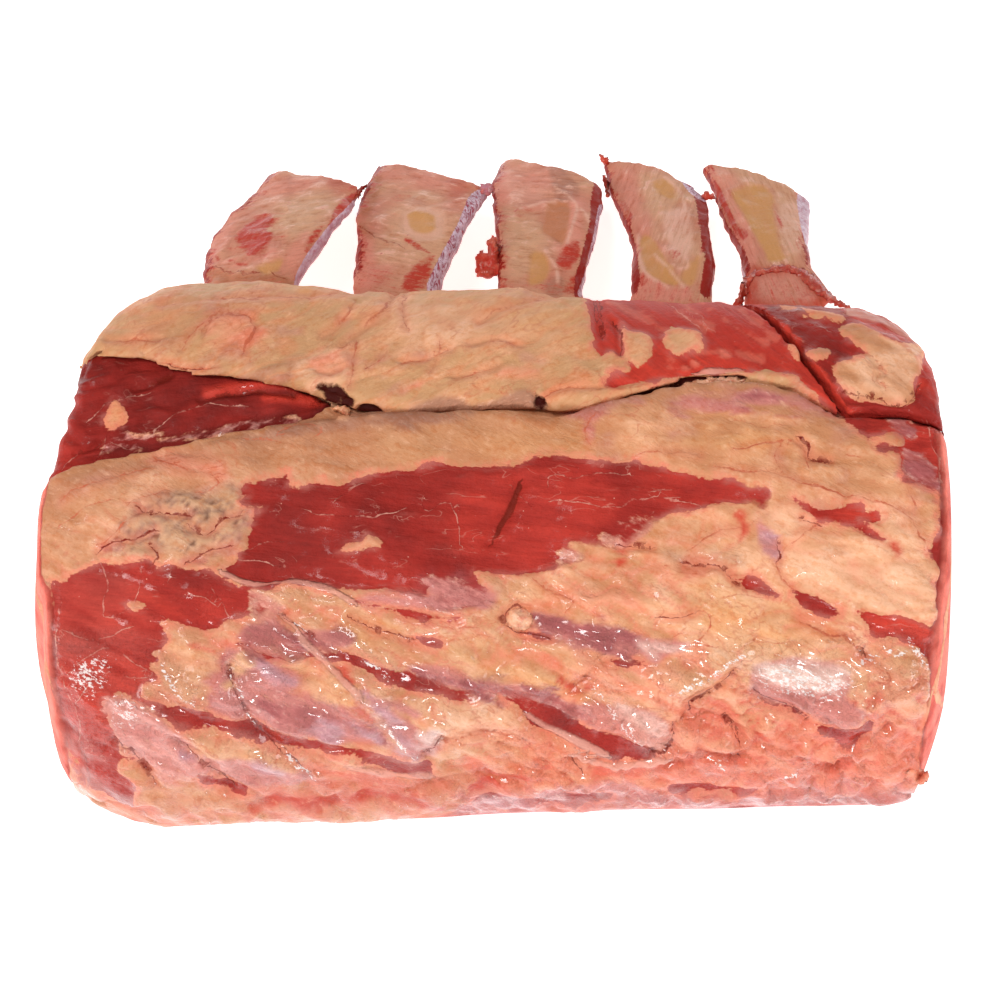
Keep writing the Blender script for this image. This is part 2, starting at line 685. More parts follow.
LOW_WINDOWS = [
    [(138,698), (157,704), (177,706), (193,710), (206,712), (218,718), (234,722), (246,721),
     (257,723), (275,731), (295,737), (322,743), (351,748), (363,750), (381,755), (400,762),
     (416,764), (429,762), (432,769), (429,776), (409,776), (390,773), (370,764), (351,756),
     (332,753), (306,751), (285,751), (271,745), (261,743), (244,736), (226,731), (210,730),
     (189,727), (173,722), (157,714)],
    [(234,643), (250,643), (255,650), (277,654), (277,645), (295,650), (318,650), (340,651),
     (354,654), (367,661), (386,668), (395,670), (409,670), (420,672), (436,679), (450,688),
     (468,691), (478,695), (468,700), (455,700), (441,695), (420,691), (409,693), (395,686),
     (379,679), (358,670), (340,662), (301,657), (282,662), (263,659), (246,650)],
    [(501,693), (514,707), (523,716), (530,727), (542,733), (551,731), (567,739), (590,750),
     (611,760), (634,762), (652,760), (653,750), (638,743), (615,734), (592,730), (579,722),
     (569,707), (551,700), (523,692), (508,688)],
    [(354,601), (370,604), (390,607), (409,609), (427,614), (443,617), (462,620), (439,622),
     (418,620), (400,616), (379,608)],
    [(607,660), (620,660), (629,660), (648,664), (634,667), (620,668)],
    [(524,632), (537,635), (552,639), (540,640)],
    [(418,639), (432,640), (442,643), (436,647), (427,645)],
    [(199,774), (214,780), (226,784), (246,787), (248,794), (234,795), (218,787),
     (203,783)],
    [(471,804), (487,794), (505,796), (537,799), (560,796), (583,794), (613,796), (590,803),
     (558,805), (523,803), (489,809)],
    [(668,788), (687,784), (717,786), (752,789), (764,791), (737,794), (708,793), (689,796),
     (671,794)],
    [(718,803), (746,797), (763,799), (752,805)],
]
RIGHT_WINDOWS = [
    [(856,613), (871,612), (886,615), (901,616), (915,620), (936,625), (937,587), (942,573),
     (937,564), (931,550), (934,542), (942,532), (941,516), (945,503), (943,489), (950,440),
     (975,440), (975,800), (928,800), (931,766), (934,751), (932,732), (935,712), (936,689),
     (943,672), (932,666), (921,655), (909,643), (896,638), (876,638), (867,626)],
    [(789,497), (801,502), (819,505), (834,505), (848,503), (859,505), (868,512), (875,509),
     (882,522), (873,523), (859,518), (869,528), (887,540), (873,537), (862,532), (850,525),
     (834,521), (819,519), (812,514)],
    [(759,698), (775,706), (794,710), (809,720), (827,727), (844,730), (859,728), (871,720),
     (873,730), (861,743), (852,749), (840,747), (827,737), (811,726), (798,718), (783,711),
     (767,705)],
    [(793,590), (806,593), (817,596), (829,603), (842,614), (827,616), (813,613),
     (798,603)],
    [(729,574), (744,577), (756,578), (765,586), (778,596), (763,591), (746,590),
     (739,583)],
]
DARK_MUSCLE = [
    (828,404), (840,406), (854,416), (866,409), (889,409), (903,412), (914,420), (926,404),
    (940,400), (960,440), (950,500), (942,489), (930,487), (917,482), (904,481), (907,476),
    (901,466), (900,455), (891,450), (885,451), (875,447), (869,439), (859,430), (851,424),
    (840,416),
]
FAT_SCRAPS = [
    [(339,550), (348,543), (360,541), (367,533), (379,539), (380,546), (367,547), (355,552),
     (341,552)],
    [(223,624), (230,619), (242,618), (246,623), (237,628), (228,629)],
    [(124,603), (131,602), (142,607), (134,611)],
    [(435,583), (440,586), (439,596), (435,605), (428,602), (422,598), (411,598), (392,594),
     (366,593), (380,589), (396,590), (413,593), (425,595), (431,588)],
    [(870,437), (880,433), (896,431), (904,437), (898,443), (884,442), (874,444)],
    [(20,570), (42,572), (45,620), (44,661), (48,700), (60,730), (70,752), (60,790),
     (20,700)],
]
# Silverskin and membrane, in photo pixels.
SILVERSKIN = [
    [(224,652), (236,650), (250,656), (268,660), (284,668), (299,677), (291,690), (304,697),
     (330,700), (354,713), (370,722), (386,738), (380,746), (363,743), (332,742), (300,737),
     (272,729), (250,717), (236,722), (214,712), (206,708), (216,697), (222,680)],
    [(244,627), (262,622), (276,617), (285,628), (300,640), (306,650), (296,663), (270,661),
     (248,652), (240,640)],
    [(298,631), (320,630), (345,633), (354,640), (345,648), (318,646), (304,640)],
    [(361,689), (380,700), (396,712), (412,724), (424,731), (436,727), (438,740), (441,748),
     (430,757), (416,761), (404,748), (392,728), (376,708)],
    [(372,695), (390,699), (405,705), (421,712), (414,717), (395,709), (376,702)],
    [(406,667), (440,666), (462,673), (478,682), (490,680), (502,684), (520,684), (540,690),
     (556,698), (572,705), (590,703), (606,705), (630,706), (650,708), (664,716), (670,728),
     (672,740), (660,752), (652,750), (640,744), (615,736), (590,729), (566,712), (545,704),
     (520,703), (498,696), (490,701), (470,696), (450,688), (430,678)],
    [(531,612), (550,615), (575,622), (595,628), (608,626), (625,630), (640,637), (665,640),
     (687,642), (686,650), (670,655), (655,666), (640,656), (625,660), (605,655), (590,650),
     (575,648), (560,640), (545,632), (535,622)],
    [(425,578), (440,574), (468,584), (488,590), (495,600), (484,606), (468,607), (440,611),
     (400,606), (362,600), (380,596), (425,600), (430,590)],
    [(104,702), (122,699), (140,706), (160,716), (176,732), (180,742), (196,756), (214,772),
     (196,776), (170,771), (148,766), (132,756), (118,742), (110,724)],
    [(206,752), (230,756), (256,760), (280,768), (312,776), (300,784), (270,786), (240,783),
     (220,776), (206,764)],
    [(752,666), (770,660), (800,657), (840,666), (852,682), (848,700), (868,711), (852,725),
     (830,726), (800,713), (770,704), (752,690)],
    [(757,524), (766,526), (776,537), (781,546), (778,560), (770,557), (761,549)],
    [(730,402), (742,394), (756,391), (772,393), (790,398), (778,404), (760,405)],
    [(886,410), (903,413), (913,422), (916,440), (902,434), (890,424)],
    [(902,444), (918,448), (934,464), (945,488), (930,485), (912,478), (903,464)],
]
# Film so thin that the red shows through it.
SHEER_FILM = [
    [(617,520), (634,516), (653,520), (650,529), (636,540), (618,545), (602,543),
     (604,531)],
    [(563,548), (574,550), (581,558), (564,564), (556,560)],
    [(250,590), (266,596), (282,608), (276,616), (262,622), (252,612)],
]
# Threads of fascia on the red muscle, and the tendons that cross the lower lobes.
THREADS = [
    [(98,560), (104,573), (108,588), (103,600), (103,614)],
    [(139,570), (138,590), (134,604)],
    [(170,568), (167,580)],
    [(103,616), (118,617), (130,608), (142,607), (155,613), (180,627)],
    [(240,560), (262,560), (272,564)],
    [(305,509), (318,514), (340,515), (370,516), (383,512), (400,510), (418,503), (428,510),
     (440,503), (457,503)],
    [(452,504), (458,520), (461,545)],
    [(226,573), (248,581), (269,583), (294,582), (328,589)],
    [(214,590), (223,604), (229,620)],
    [(190,594), (205,598), (218,608)],
    [(248,548), (262,542), (280,540)],
    [(336,500), (348,489), (362,483)],
    [(512,487), (520,496), (530,505)],
    [(552,500), (566,501), (590,504), (606,507), (620,506), (640,498), (690,502)],
    [(548,483), (552,476), (580,476), (600,472), (630,473)],
    [(655,488), (672,490), (690,485)],
    [(640,498), (660,497), (680,500), (700,506)],
    [(60,600), (56,620), (54,650), (60,680), (75,716), (78,740)],
    [(64,632), (86,640), (110,636), (130,628)],
    [(70,672), (90,655), (110,648), (130,660), (150,672)],
    [(74,705), (84,692), (100,680), (114,672), (130,680), (155,676)],
    [(936,415), (944,440), (946,470)],
    [(924,410), (930,430), (940,460), (943,486)],
]
TENDONS = [
    [(283,617), (296,628), (306,644), (318,656), (330,668), (345,682), (359,695)],
    [(575,756), (590,762), (610,766), (640,765), (666,761)],
    [(224,573), (255,584), (295,582), (331,590), (352,602)],
    [(528,716), (545,728), (566,737), (590,746), (606,755)],
    [(350,768), (390,776), (430,778)],
]
# Open cracks, edges of the lobes of fat, and fine lines of blood and stain in it.
CRACKS = [
    [(114,743), (129,753), (141,766), (151,778), (154,788)],
    [(502,618), (508,627), (520,634), (530,636), (549,640)],
    [(503,618), (510,609), (520,607), (530,614)],
    [(228,668), (234,690), (246,714), (258,730), (276,748), (290,758), (310,774)],
    [(178,740), (198,756), (208,768), (222,778), (232,789)],
    [(283,616), (298,626), (312,636)],
    [(735,668), (728,679), (718,687), (700,696), (689,703), (691,711), (684,718)],
    [(726,722), (734,733), (738,741)],
    [(756,692), (770,702), (790,709), (806,722)],
    [(862,650), (868,661)],
    [(685,562), (704,562), (720,566), (728,573), (738,584)],
    [(777,541), (779,556), (778,560)],
    [(802,518), (814,522), (819,524)],
    [(660,618), (680,617), (696,612)],
    [(571,762), (577,768), (581,773)],
    [(98,552), (112,543), (128,540), (145,534), (156,530)],
    [(140,510), (150,512), (160,510), (172,514), (190,514)],
    [(190,525), (205,532), (214,527), (226,518), (240,512)],
    [(150,545), (156,556), (152,562)],
    [(186,562), (200,556), (212,548), (230,545)],
    [(520,482), (514,496), (508,512), (498,528), (491,541)],
    [(730,755), (738,757)],
    [(820,768), (828,770), (838,766)],
    [(673,723), (674,738), (664,750), (654,753)],
    [(425,752), (434,748), (441,740)],
    [(800,438), (808,447), (810,455), (830,459)],
    [(620,544), (640,544), (652,545)],
    [(350,618), (372,628), (390,634), (412,640)],
]
LOBE_EDGES = [
    [(700,753), (720,757), (742,757), (756,746), (782,748), (800,758), (826,770), (846,764),
     (858,746), (872,738), (890,728)],
    [(683,720), (694,722), (708,716), (728,722), (744,742), (756,746)],
    [(700,716), (698,735), (698,752)],
    [(700,753), (680,760), (662,768)],
    [(826,772), (812,784), (806,796)],
    [(838,766), (842,780), (834,796)],
    [(850,762), (866,772), (872,788)],
    [(872,738), (880,752), (900,760), (925,762)],
    [(752,750), (752,770), (765,784), (770,796)],
    [(872,705), (880,690), (900,692), (918,684)],
    [(846,640), (856,650), (868,660), (880,664)],
    [(800,620), (815,628), (830,634), (848,638)],
    [(876,664), (890,676), (886,692)],
    [(445,742), (470,734), (500,732), (520,736), (536,752), (546,764)],
    [(500,750), (512,764), (530,770), (560,774)],
    [(410,790), (440,782), (480,778), (520,784)],
    [(570,692), (590,676), (600,660)],
    [(582,650), (592,662), (606,668)],
]
PINK_LINES = [
    [(156,457), (172,465), (187,470), (222,475)],
    [(168,450), (185,455), (205,457), (220,464)],
    [(130,506), (150,498), (166,492)],
    [(212,474), (218,485), (200,492)],
    [(715,468), (740,470), (762,473), (790,478), (815,486), (828,492), (865,500)],
    [(735,450), (760,444), (785,441), (805,450), (807,465)],
    [(785,441), (776,458), (782,470)],
    [(905,475), (909,490), (915,503)],
    [(868,500), (895,508), (912,520), (926,546)],
    [(690,548), (702,540), (720,531), (748,526), (758,520)],
    [(818,522), (802,536), (788,546), (776,562), (782,578), (796,590)],
    [(665,566), (690,572), (715,570)],
    [(535,580), (552,592), (572,602), (566,612)],
    [(640,455), (660,452), (700,456)],
    [(590,445), (586,430), (594,418)],
    [(62,500), (80,490), (110,480), (150,468)],
    [(100,545), (120,530), (140,515)],
]
BROWN_LINES = [
    [(663,618), (684,616), (700,610), (712,620), (704,634), (690,644), (718,646)],
    [(752,640), (776,642), (800,640)],
    [(720,600), (740,594), (760,598)],
    [(640,634), (660,640), (680,634)],
    [(430,622), (450,628), (480,626), (500,618)],
    [(280,430), (300,425), (320,430), (310,440)],
    [(245,440), (262,436), (280,440)],
    [(730,418), (760,424), (790,424)],
    [(850,455), (870,460), (884,470)],
    [(60,530), (75,515), (90,505), (110,500)],
    [(420,605), (440,612), (470,616)],
    [(850,690), (870,680), (888,684)],
]
BLOODY_SEAMS = [
    [(600,772), (633,772), (660,768), (690,762)],
    [(700,752), (730,756), (742,757)],
    [(752,744), (760,738), (770,741)],
    [(800,758), (826,770), (850,763)],
    [(812,782), (800,792)],
    [(858,746), (842,746)],
    [(470,788), (500,780), (540,776)],
    [(250,805), (280,800), (310,806), (350,800), (400,796), (440,804)],
    [(560,680), (578,692), (590,688)],
    [(620,548), (626,556), (620,562)],
    [(350,700), (365,712), (376,722)],
    [(338,668), (350,682)],
    [(893,545), (900,553)],
    [(535,762), (541,768)],
    [(222,660), (228,672), (224,684)],
    [(740,516), (744,528), (740,540)],
]
# Raised ropes of fat.
CRESTS = [
    [(290,595), (330,610), (380,640), (440,652), (500,662), (560,678)],
    [(190,650), (200,670), (190,690)],
    [(150,706), (200,742), (260,760), (320,772)],
    [(440,715), (500,722), (560,760)],
    [(580,600), (660,600), (740,620), (820,640)],
    [(690,690), (720,670), (738,650)],
    [(700,735), (760,770), (790,776)],
    [(780,745), (810,758), (830,762)],
    [(870,705), (900,680), (920,690)],
    [(880,770), (905,772), (925,775)],
    [(620,690), (650,680), (680,676)],
]
# A cut in the eye muscle, wider than the other cracks.
GASH = [(528,474), (526,490), (508,520), (500,532), (492,524), (506,494), (516,476)]
UMBER = colour(0.20, 0.10, 0.065)
RIM_RED = colour(0.98, 0.22, 0.16)
LEFT_SHADE = (0.08, 0.07, 0.03)
STAINED_FAT = [
    (110,545), (128,520), (150,502), (185,494), (215,490), (246,487), (252,504), (246,530),
    (225,548), (205,556), (180,548), (150,552),
]
# Dabs of paint: tone, strength, softness in millimetres, outline.
FAT_DABS = [
    (YELLOW_FAT, 0.6, 4.0, [(380,418), (480,414), (590,420), (580,448), (470,455),
        (390,462)]),
    (TAN_FAT, 0.55, 6.0, [(220,438), (340,420), (480,414), (600,412), (600,452), (440,462),
        (240,476)]),
    (YELLOW_FAT, 0.4, 4.0, [(700,430), (780,432), (800,446), (740,452), (690,446)]),
    (TAN_FAT, 0.6, 4.0, [(40,500), (70,480), (80,500), (62,560), (44,560)]),
    (PINK_FAT, 0.45, 3.0, [(150,456), (180,452), (225,462), (225,478), (180,474)]),
    (GREY_STAIN, 0.9, 2.0, [(128,520), (150,502), (185,494), (215,490), (246,487),
        (250,504), (232,522), (205,534), (180,540), (150,542), (132,536)]),
    (MAUVE_FILM, 0.8, 1.2, [(104,547), (122,538), (140,530), (156,526), (158,533),
        (140,541), (120,549)]),
    (MAUVE_FILM, 0.6, 1.6, [(212,534), (226,520), (242,508), (256,510), (250,530),
        (244,545), (228,552), (208,548)]),
    (CREAM_FAT, 0.8, 1.4, [(155,560), (166,546), (186,541), (206,546), (200,554), (180,563),
        (162,567)]),
    (MAUVE_FILM, 0.7, 1.0, [(180,562), (196,556), (206,558), (196,564)]),
    (WHITE_FAT, 0.7, 6.0, [(790,548), (850,545), (905,560), (934,585), (930,612), (890,610),
        (835,595), (800,578)]),
    (WHITE_FAT, 0.5, 4.0, [(860,505), (900,510), (925,545), (905,560), (880,535)]),
    (WHITE_FAT, 0.5, 4.0, [(765,510), (800,512), (812,530), (795,540), (775,530)]),
    (STAIN, 0.35, 3.0, [(665,552), (700,548), (735,556), (742,572), (700,570)]),
    (STAIN, 0.3, 3.0, [(810,536), (835,546), (850,556), (815,550)]),
    (YELLOW_FAT, 0.4, 4.0, [(690,588), (735,580), (750,602), (800,606), (850,642),
        (790,650), (730,640), (700,618)]),
    (YELLOW_FAT, 0.5, 3.0, [(350,612), (390,628), (400,646), (372,648), (352,636)]),
    (YELLOW_FAT, 0.5, 4.0, [(450,644), (500,652), (560,676), (590,700), (540,690),
        (470,664)]),
    (PINK_FAT, 0.6, 4.0, [(570,660), (620,675), (670,662), (700,660), (660,700),
        (600,690)]),
    (PINK_FAT, 0.5, 4.0, [(560,590), (600,580), (650,590), (640,612), (590,612)]),
    (PINK_FAT, 0.3, 8.0, [(160,620), (240,630), (330,700), (330,760), (200,740),
        (150,690)]),
    (WHITE_FAT, 0.6, 3.0, [(440,700), (490,706), (530,735), (500,732), (450,720)]),
    (ROSE_FAT, 0.45, 5.0, [(240,780), (330,770), (450,785), (460,812), (300,815), (180,818),
        (140,806)]),
    (CREAM_FAT, 0.7, 3.0, [(130,770), (170,778), (240,800), (200,812), (140,800)]),
    (ROSE_FAT, 0.45, 6.0, [(690,750), (800,760), (880,745), (930,760), (900,795), (780,795),
        (690,775)]),
    (ORANGE_FAT, 0.7, 1.5, [(902,780), (912,768), (928,772), (932,784), (915,790)]),
    (CREAM_FAT, 0.8, 1.6, [(163,628), (200,638), (222,652), (226,668), (216,700), (205,706),
        (180,692), (166,670), (160,650)]),
    (CREAM_FAT, 0.9, 1.6, [(146,706), (178,726), (225,740), (265,752), (295,772), (250,764),
        (205,748), (180,738), (165,725)]),
    (ROSE_FAT, 0.6, 1.5, [(196,640), (222,638), (234,646), (222,652), (200,646)]),
    (MAUVE_FILM, 0.75, 2.0, [(680,396), (720,388), (790,392), (826,400), (840,416),
        (800,410), (740,408), (700,412), (672,408)]),
    (STAIN, 0.6, 2.5, [(250,436), (330,418), (400,414), (470,418), (420,424), (340,428),
        (270,440)]),
    (MAUVE_FILM, 0.7, 2.0, [(560,410), (610,402), (640,404), (600,414), (592,440),
        (584,416)]),
]
FILM_DABS = [
    (VIOLET_FILM, 0.4, 3.0, [(535,615), (605,625), (600,648), (545,640)]),
    (BLOOD, 0.13, 4.0, [(235,636), (305,640), (305,664), (240,662)]),
    (LILAC_FILM, 0.35, 6.0, [(100,700), (150,712), (200,764), (160,768), (116,740)]),
    (ROSE_FILM, 0.8, 4.0, [(100,696), (180,730), (220,775), (150,770), (110,730)]),
    (LILAC_FILM, 0.8, 2.0, [(176,740), (186,744), (204,760), (216,772), (200,764)]),
    (LILAC_FILM, 0.6, 2.0, [(250,762), (272,764), (284,774), (264,778)]),
    (MAUVE_FILM, 0.9, 3.0, [(206,704), (222,655), (240,652), (270,664), (352,704),
        (384,740), (300,736), (240,722)]),
    (CREAM_FAT, 0.8, 2.0, [(228,656), (246,656), (250,668), (238,684), (228,680)]),
    (CREAM_FAT, 0.9, 2.0, [(272,650), (300,664), (332,682), (348,703), (318,700), (296,692),
        (304,680), (284,664)]),
    (LILAC_FILM, 0.8, 2.0, [(262,660), (282,668), (300,678), (290,690), (270,684)]),
    (VIOLET_FILM, 0.6, 2.0, [(262,702), (300,704), (350,714), (384,736), (350,742),
        (300,730)]),
    (LILAC_FILM, 0.9, 2.0, [(318,726), (350,722), (378,736), (360,742), (324,738)]),
    (VIOLET_FILM, 0.5, 1.5, [(298,632), (345,632), (350,642), (318,646)]),
    (VIOLET_FILM, 0.6, 2.5, [(244,630), (280,624), (304,646), (290,660), (250,650)]),
    (LILAC_FILM, 0.7, 2.0, [(364,692), (392,712), (412,736), (432,732), (436,750),
        (414,758), (390,730)]),
    (PALE_FILM, 0.5, 2.0, [(420,734), (438,730), (440,748), (428,756), (416,750)]),
    (VIOLET_FILM, 0.9, 2.0, [(410,668), (478,682), (540,690), (572,706), (600,720),
        (560,716), (500,700), (450,688)]),
    (PALE_FILM, 0.55, 2.0, [(600,706), (640,708), (666,720), (670,738), (655,750),
        (630,730)]),
    (VIOLET_FILM, 0.95, 1.5, [(533,614), (575,622), (612,630), (610,652), (575,646),
        (545,630)]),
    (VIOLET_FILM, 0.7, 1.5, [(612,630), (640,638), (640,656), (622,656)]),
    (PALE_FILM, 0.4, 2.0, [(640,642), (684,644), (672,654), (650,662)]),
    (MAUVE_FILM, 0.9, 3.0, [(425,576), (490,590), (480,608), (400,608), (360,598)]),
    (PALE_FILM, 0.6, 4.0, [(756,668), (800,660), (846,672), (840,694), (800,690),
        (762,684)]),
    (MAUVE_FILM, 0.8, 2.0, [(756,692), (810,698), (860,712), (840,724), (796,710)]),
    (LILAC_FILM, 0.6, 2.0, [(757,524), (776,537), (780,558), (762,550)]),
    (VIOLET_FILM, 0.7, 2.0, [(738,396), (770,394), (780,400), (756,404)]),
    (VIOLET_FILM, 0.8, 3.0, [(884,408), (916,418), (948,490), (906,480), (896,440)]),
    (LILAC_FILM, 0.6, 4.0, [(460,806), (600,786), (700,800), (930,780), (900,812),
        (480,830)]),
]
LEAN_DABS = [
    (HAZE, 0.14, 8.0, [(60,380), (240,380), (330,410), (200,440), (60,430)]),
    (HAZE, 0.15, 8.0, [(50,575), (130,575), (140,650), (50,650)]),
    (HAZE, 0.2, 8.0, [(44,660), (100,640), (160,700), (130,800), (60,760)]),
    (BRIGHT_LEAN, 0.8, 3.0, [(862,408), (910,412), (920,440), (900,470), (880,440)]),
    (SCARLET, 0.3, 6.0, [(60,590), (160,590), (220,610), (150,640), (60,640)]),
    (SCARLET, 0.6, 4.0, [(60,660), (150,660), (150,700), (110,740), (70,730)]),
    (BRIGHT_LEAN, 0.6, 6.0, [(480,480), (560,470), (620,500), (560,560), (470,560)]),
    (BRIGHT_LEAN, 0.4, 6.0, [(640,470), (740,480), (760,500), (660,510)]),
    (SCARLET, 0.7, 3.0, [(860,614), (900,618), (946,640), (940,665), (880,636)]),
    (SCARLET, 0.5, 3.0, [(800,502), (880,506), (884,538), (820,520)]),
    (SCARLET, 0.8, 2.0, [(835,738), (862,734), (856,748), (844,748)]),
    (DARK_LEAN, 0.2, 3.0, [(856,414), (880,410), (892,420), (882,434), (866,432)]),
    (DARK_LEAN, 0.5, 2.0, [(874,446), (900,440), (902,448), (884,450)]),
    (BRIGHT_LEAN, 0.9, 3.0, [(912,420), (930,402), (950,440), (944,470), (922,444)]),
    (SCARLET, 0.8, 1.5, [(830,404), (842,408), (854,420), (842,416)]),
    (VIOLET_FILM, 0.35, 3.0, [(420,575), (480,578), (486,600), (430,606)]),
]
# Where the wet fat catches the light.
GLEAMS = [
    [(382,722), (392,734), (402,746), (414,757)],
    [(296,622), (306,630)],
    [(230,676), (238,688), (244,698)],
    [(248,716), (254,726)],
    [(288,756), (300,768), (312,777)],
    [(362,662), (376,668), (390,680)],
    [(592,688), (600,696), (610,708)],
    [(612,712), (622,724), (634,736), (643,744)],
    [(160,664), (168,680), (178,694), (196,706)],
    [(672,692), (692,684), (712,674), (726,662), (742,653)],
    [(908,640), (920,654), (930,670)],
    [(888,650), (896,656), (904,652)],
    [(716,760), (724,766)],
    [(786,774), (798,774)],
]
GLEAM_PATCHES = [
    [(754,668), (780,658), (820,664), (850,678), (846,700), (800,700), (762,690)],
    [(104,700), (124,698), (142,710), (138,728), (118,728)],
    [(66,670), (90,652), (112,660), (104,690), (78,704)],
    [(852,655), (880,650), (880,668), (856,676)],
]
WET_SPOTS = [
    [(60,640), (150,640), (160,700), (150,740), (130,750), (70,720)],
    [(225,660), (250,665), (260,720), (320,780), (300,785), (245,740)],
    [(355,655), (400,670), (395,690), (360,672)],
    [(375,715), (395,722), (425,760), (400,758)],
    [(580,680), (620,690), (660,745), (640,750), (600,710)],
    [(670,668), (725,650), (745,660), (680,695)],
    [(745,650), (860,645), (880,700), (860,725), (800,715), (750,700)],
    [(885,634), (932,640), (935,693), (880,690)],
    [(835,728), (870,728), (865,750), (840,750)],
    [(700,755), (730,755), (735,775), (705,772)],
    [(775,765), (805,765), (805,780), (775,780)],
    [(150,660), (170,665), (215,710), (200,716), (160,690)],
]
# Where the fat thins out over the muscle instead of ending sharply.
SOFT_BORDERS = [
    [(590,510), (660,510), (660,550), (590,550)],
    [(250,590), (290,600), (290,622), (250,622)],
    [(550,545), (590,545), (590,566), (550,566)],
    [(500,684), (580,700), (600,720), (540,706)],
    [(410,666), (470,680), (470,694), (410,680)],
    [(740,484), (775,490), (770,512), (740,506)],
]
LOW_FILM_LINE = [
    (460,812), (500,806), (540,800), (570,790), (600,787), (630,790), (660,800), (690,806),
    (760,806), (860,803), (925,788),
]
# The seam between the loin and the flap above it.
SEAM_LINE = [
    (20,500), (50,483), (75,474), (150,453), (250,434), (345,415), (400,411), (545,410),
    (585,407), (610,399), (650,391), (690,380), (745,380), (790,387), (826,405), (853,422),
    (880,411), (905,415), (940,410), (980,410),
]
EYE_GRAIN = math.radians(7.0)
LOBE_GRAIN = math.radians(26.0)
# The cut ends, in millimetres from the middle of the meat and from the table.
CUT_END = 120.0
LOIN_MIDDLE = 51.0
END_STRETCH = 5.0
EYE_Y, EYE_Z = -30.0, 62.0
EYE_RADIUS = 31.0
EYE_STRETCH = 1.35
EYE_SEAM = 1.1
CAP_SEAM = 0.9
CAP_SEAM_Y, CAP_SEAM_Z = -10.0, 98.0
CAP_SEAM_BEND = 0.006

loin = fine_copy("loin", "loin_meat", LOIN_VOXEL)
skin = Canvas(loin)
u, v = skin.u, skin.v
seam_v = np.interp(u, *np.array(SEAM_LINE, float).T)
shown = ease(v - seam_v, -2.0, 5.0)
end_face = ease(np.abs(skin.normal[:, 0]), 0.62, 0.8)
end_face *= np.abs(skin.place[:, 0]) > CUT_END
under = ease(-skin.normal[:, 2], 0.15, 0.45)
front = (1.0 - end_face) * (1.0 - under) * shown
slope = ease(v, 450.0, 740.0)
skin.grow(EYE_GRAIN, LOBE_GRAIN, 0.0)
y, z = skin.place[:, 1] + LOIN_MIDDLE, skin.place[:, 2]
flat = np.stack([y, END_STRETCH * z, np.zeros(skin.count)], 1)
skin.fibres += (flat - skin.fibres) * end_face[:, None]
skin.lay_grain(ease(v, 540.0, 620.0))

lean = skin.depth(EYE_MUSCLE, LEFT_MUSCLE, DARK_MUSCLE, *LOW_WINDOWS, *RIGHT_WINDOWS)
lean = np.minimum(lean, -skin.depth(*FAT_SCRAPS))
film = np.maximum(skin.depth(*SILVERSKIN), 2.2 - np.abs(skin.across(LOW_FILM_LINE)))
film = np.maximum(film, np.minimum(skin.depth(*SHEER_FILM), 0.3))

# Cut ends: lean all through, with the fat cover as a rim and seams of fat in it.
eye_round = np.hypot((y - EYE_Y) / EYE_STRETCH, z - EYE_Z)
eye_seam = EYE_SEAM - np.abs(eye_round - EYE_RADIUS - 9.0 * skin.broad)
cap_bend = CAP_SEAM_BEND * (y - CAP_SEAM_Y) ** 2
cap_seam = CAP_SEAM - np.abs(z - CAP_SEAM_Z + cap_bend - 10.0 * skin.broad)
cut_lean = np.clip(-2.0 * np.maximum(eye_seam, cap_seam), -FAR, 3.0)
lean = lean * (1.0 - end_face) + cut_lean * end_face
film = film * (1.0 - end_face) - FAR * end_face
# Underside: meat under a tight pale membrane.
lean = lean * (1.0 - under) + (1.5 + 12.0 * skin.cloudy) * under
film = film * (1.0 - under) + (2.0 + 16.0 * skin.broad) * under

crest = skin.ridge(CRESTS, 7.0)
crack_near = skin.ridge(CRACKS, 3.0)
fold = skin.ridge(LOBE_EDGES, 2.2)
low_edge = ease(v, 752.0, 800.0)
right_side = skin.beyond((560.0, 700.0), (470.0, 560.0))
low_right = skin.beyond((600.0, 780.0), (640.0, 720.0))
low_front = skin.beyond((480.0, 560.0), (670.0, 760.0))
under_flap = ease(v - seam_v, 34.0, 0.0)
skin.paint(TAN_FAT, RED_LEAN)
ropes = skin.folds(9.0, 4.0, 21.0)
lumps = skin.folds(7.0, 1.9, 23.0)
lumpy = np.clip(low_right + low_front, 0.0, 1.0)
ropes += (lumps - ropes) * lumpy
stained = skin.patch([STAINED_FAT], 4.0)
crinkles = skin.folds(4.0, 2.4, 25.0)
roped = ease(v, 450.0, 600.0) * (0.65 + 0.35 * lumpy) * front
redder = 0.35 * slope + 0.4 * low_edge + 0.2 * low_right + 0.2 * low_front
paint_fat(skin, redder - 0.35 + 0.4 * under,
          0.3 * right_side + 0.15 * slope - 0.5 * under_flap)
skin.brush(skin.cover, WHITE_FAT, (0.35 + 0.2 * lumpy) * ease(ropes, 0.5, 1.0) * roped)
skin.brush(skin.cover, ROSE_FAT, 0.85 * ease(ropes, 0.38, 0.0) * roped)
skin.brush(skin.cover, BLOOD, 0.55 * ease(ropes, 0.14, 0.0) * lumpy * front)
skin.dab(skin.cover, FAT_DABS)
skin.brush(skin.cover, GREY_STAIN, 0.7 * stained)
skin.brush(skin.cover, PUTTY, ease(crinkles, 0.3, 0.8) * stained * 0.9)
umber = ease(crinkles, 0.2, 0.02) * stained
skin.brush(skin.cover, UMBER, umber * ease(skin.cloudy + skin.broad, -0.2, 0.05))
skin.brush(skin.cover, ROSE_FAT, 0.25 * skin.ridge(PINK_LINES, 4.0))
skin.brush(skin.cover, ROSE_FAT, 0.4 * skin.ridge(LOBE_EDGES, 6.0))
skin.stroke(skin.cover, [(BLOOD, 0.85, 1.9, points) for points in BLOODY_SEAMS])
skin.brush(skin.cover, ROSE_FAT, 0.4 * skin.ridge(CRACKS, 4.0))
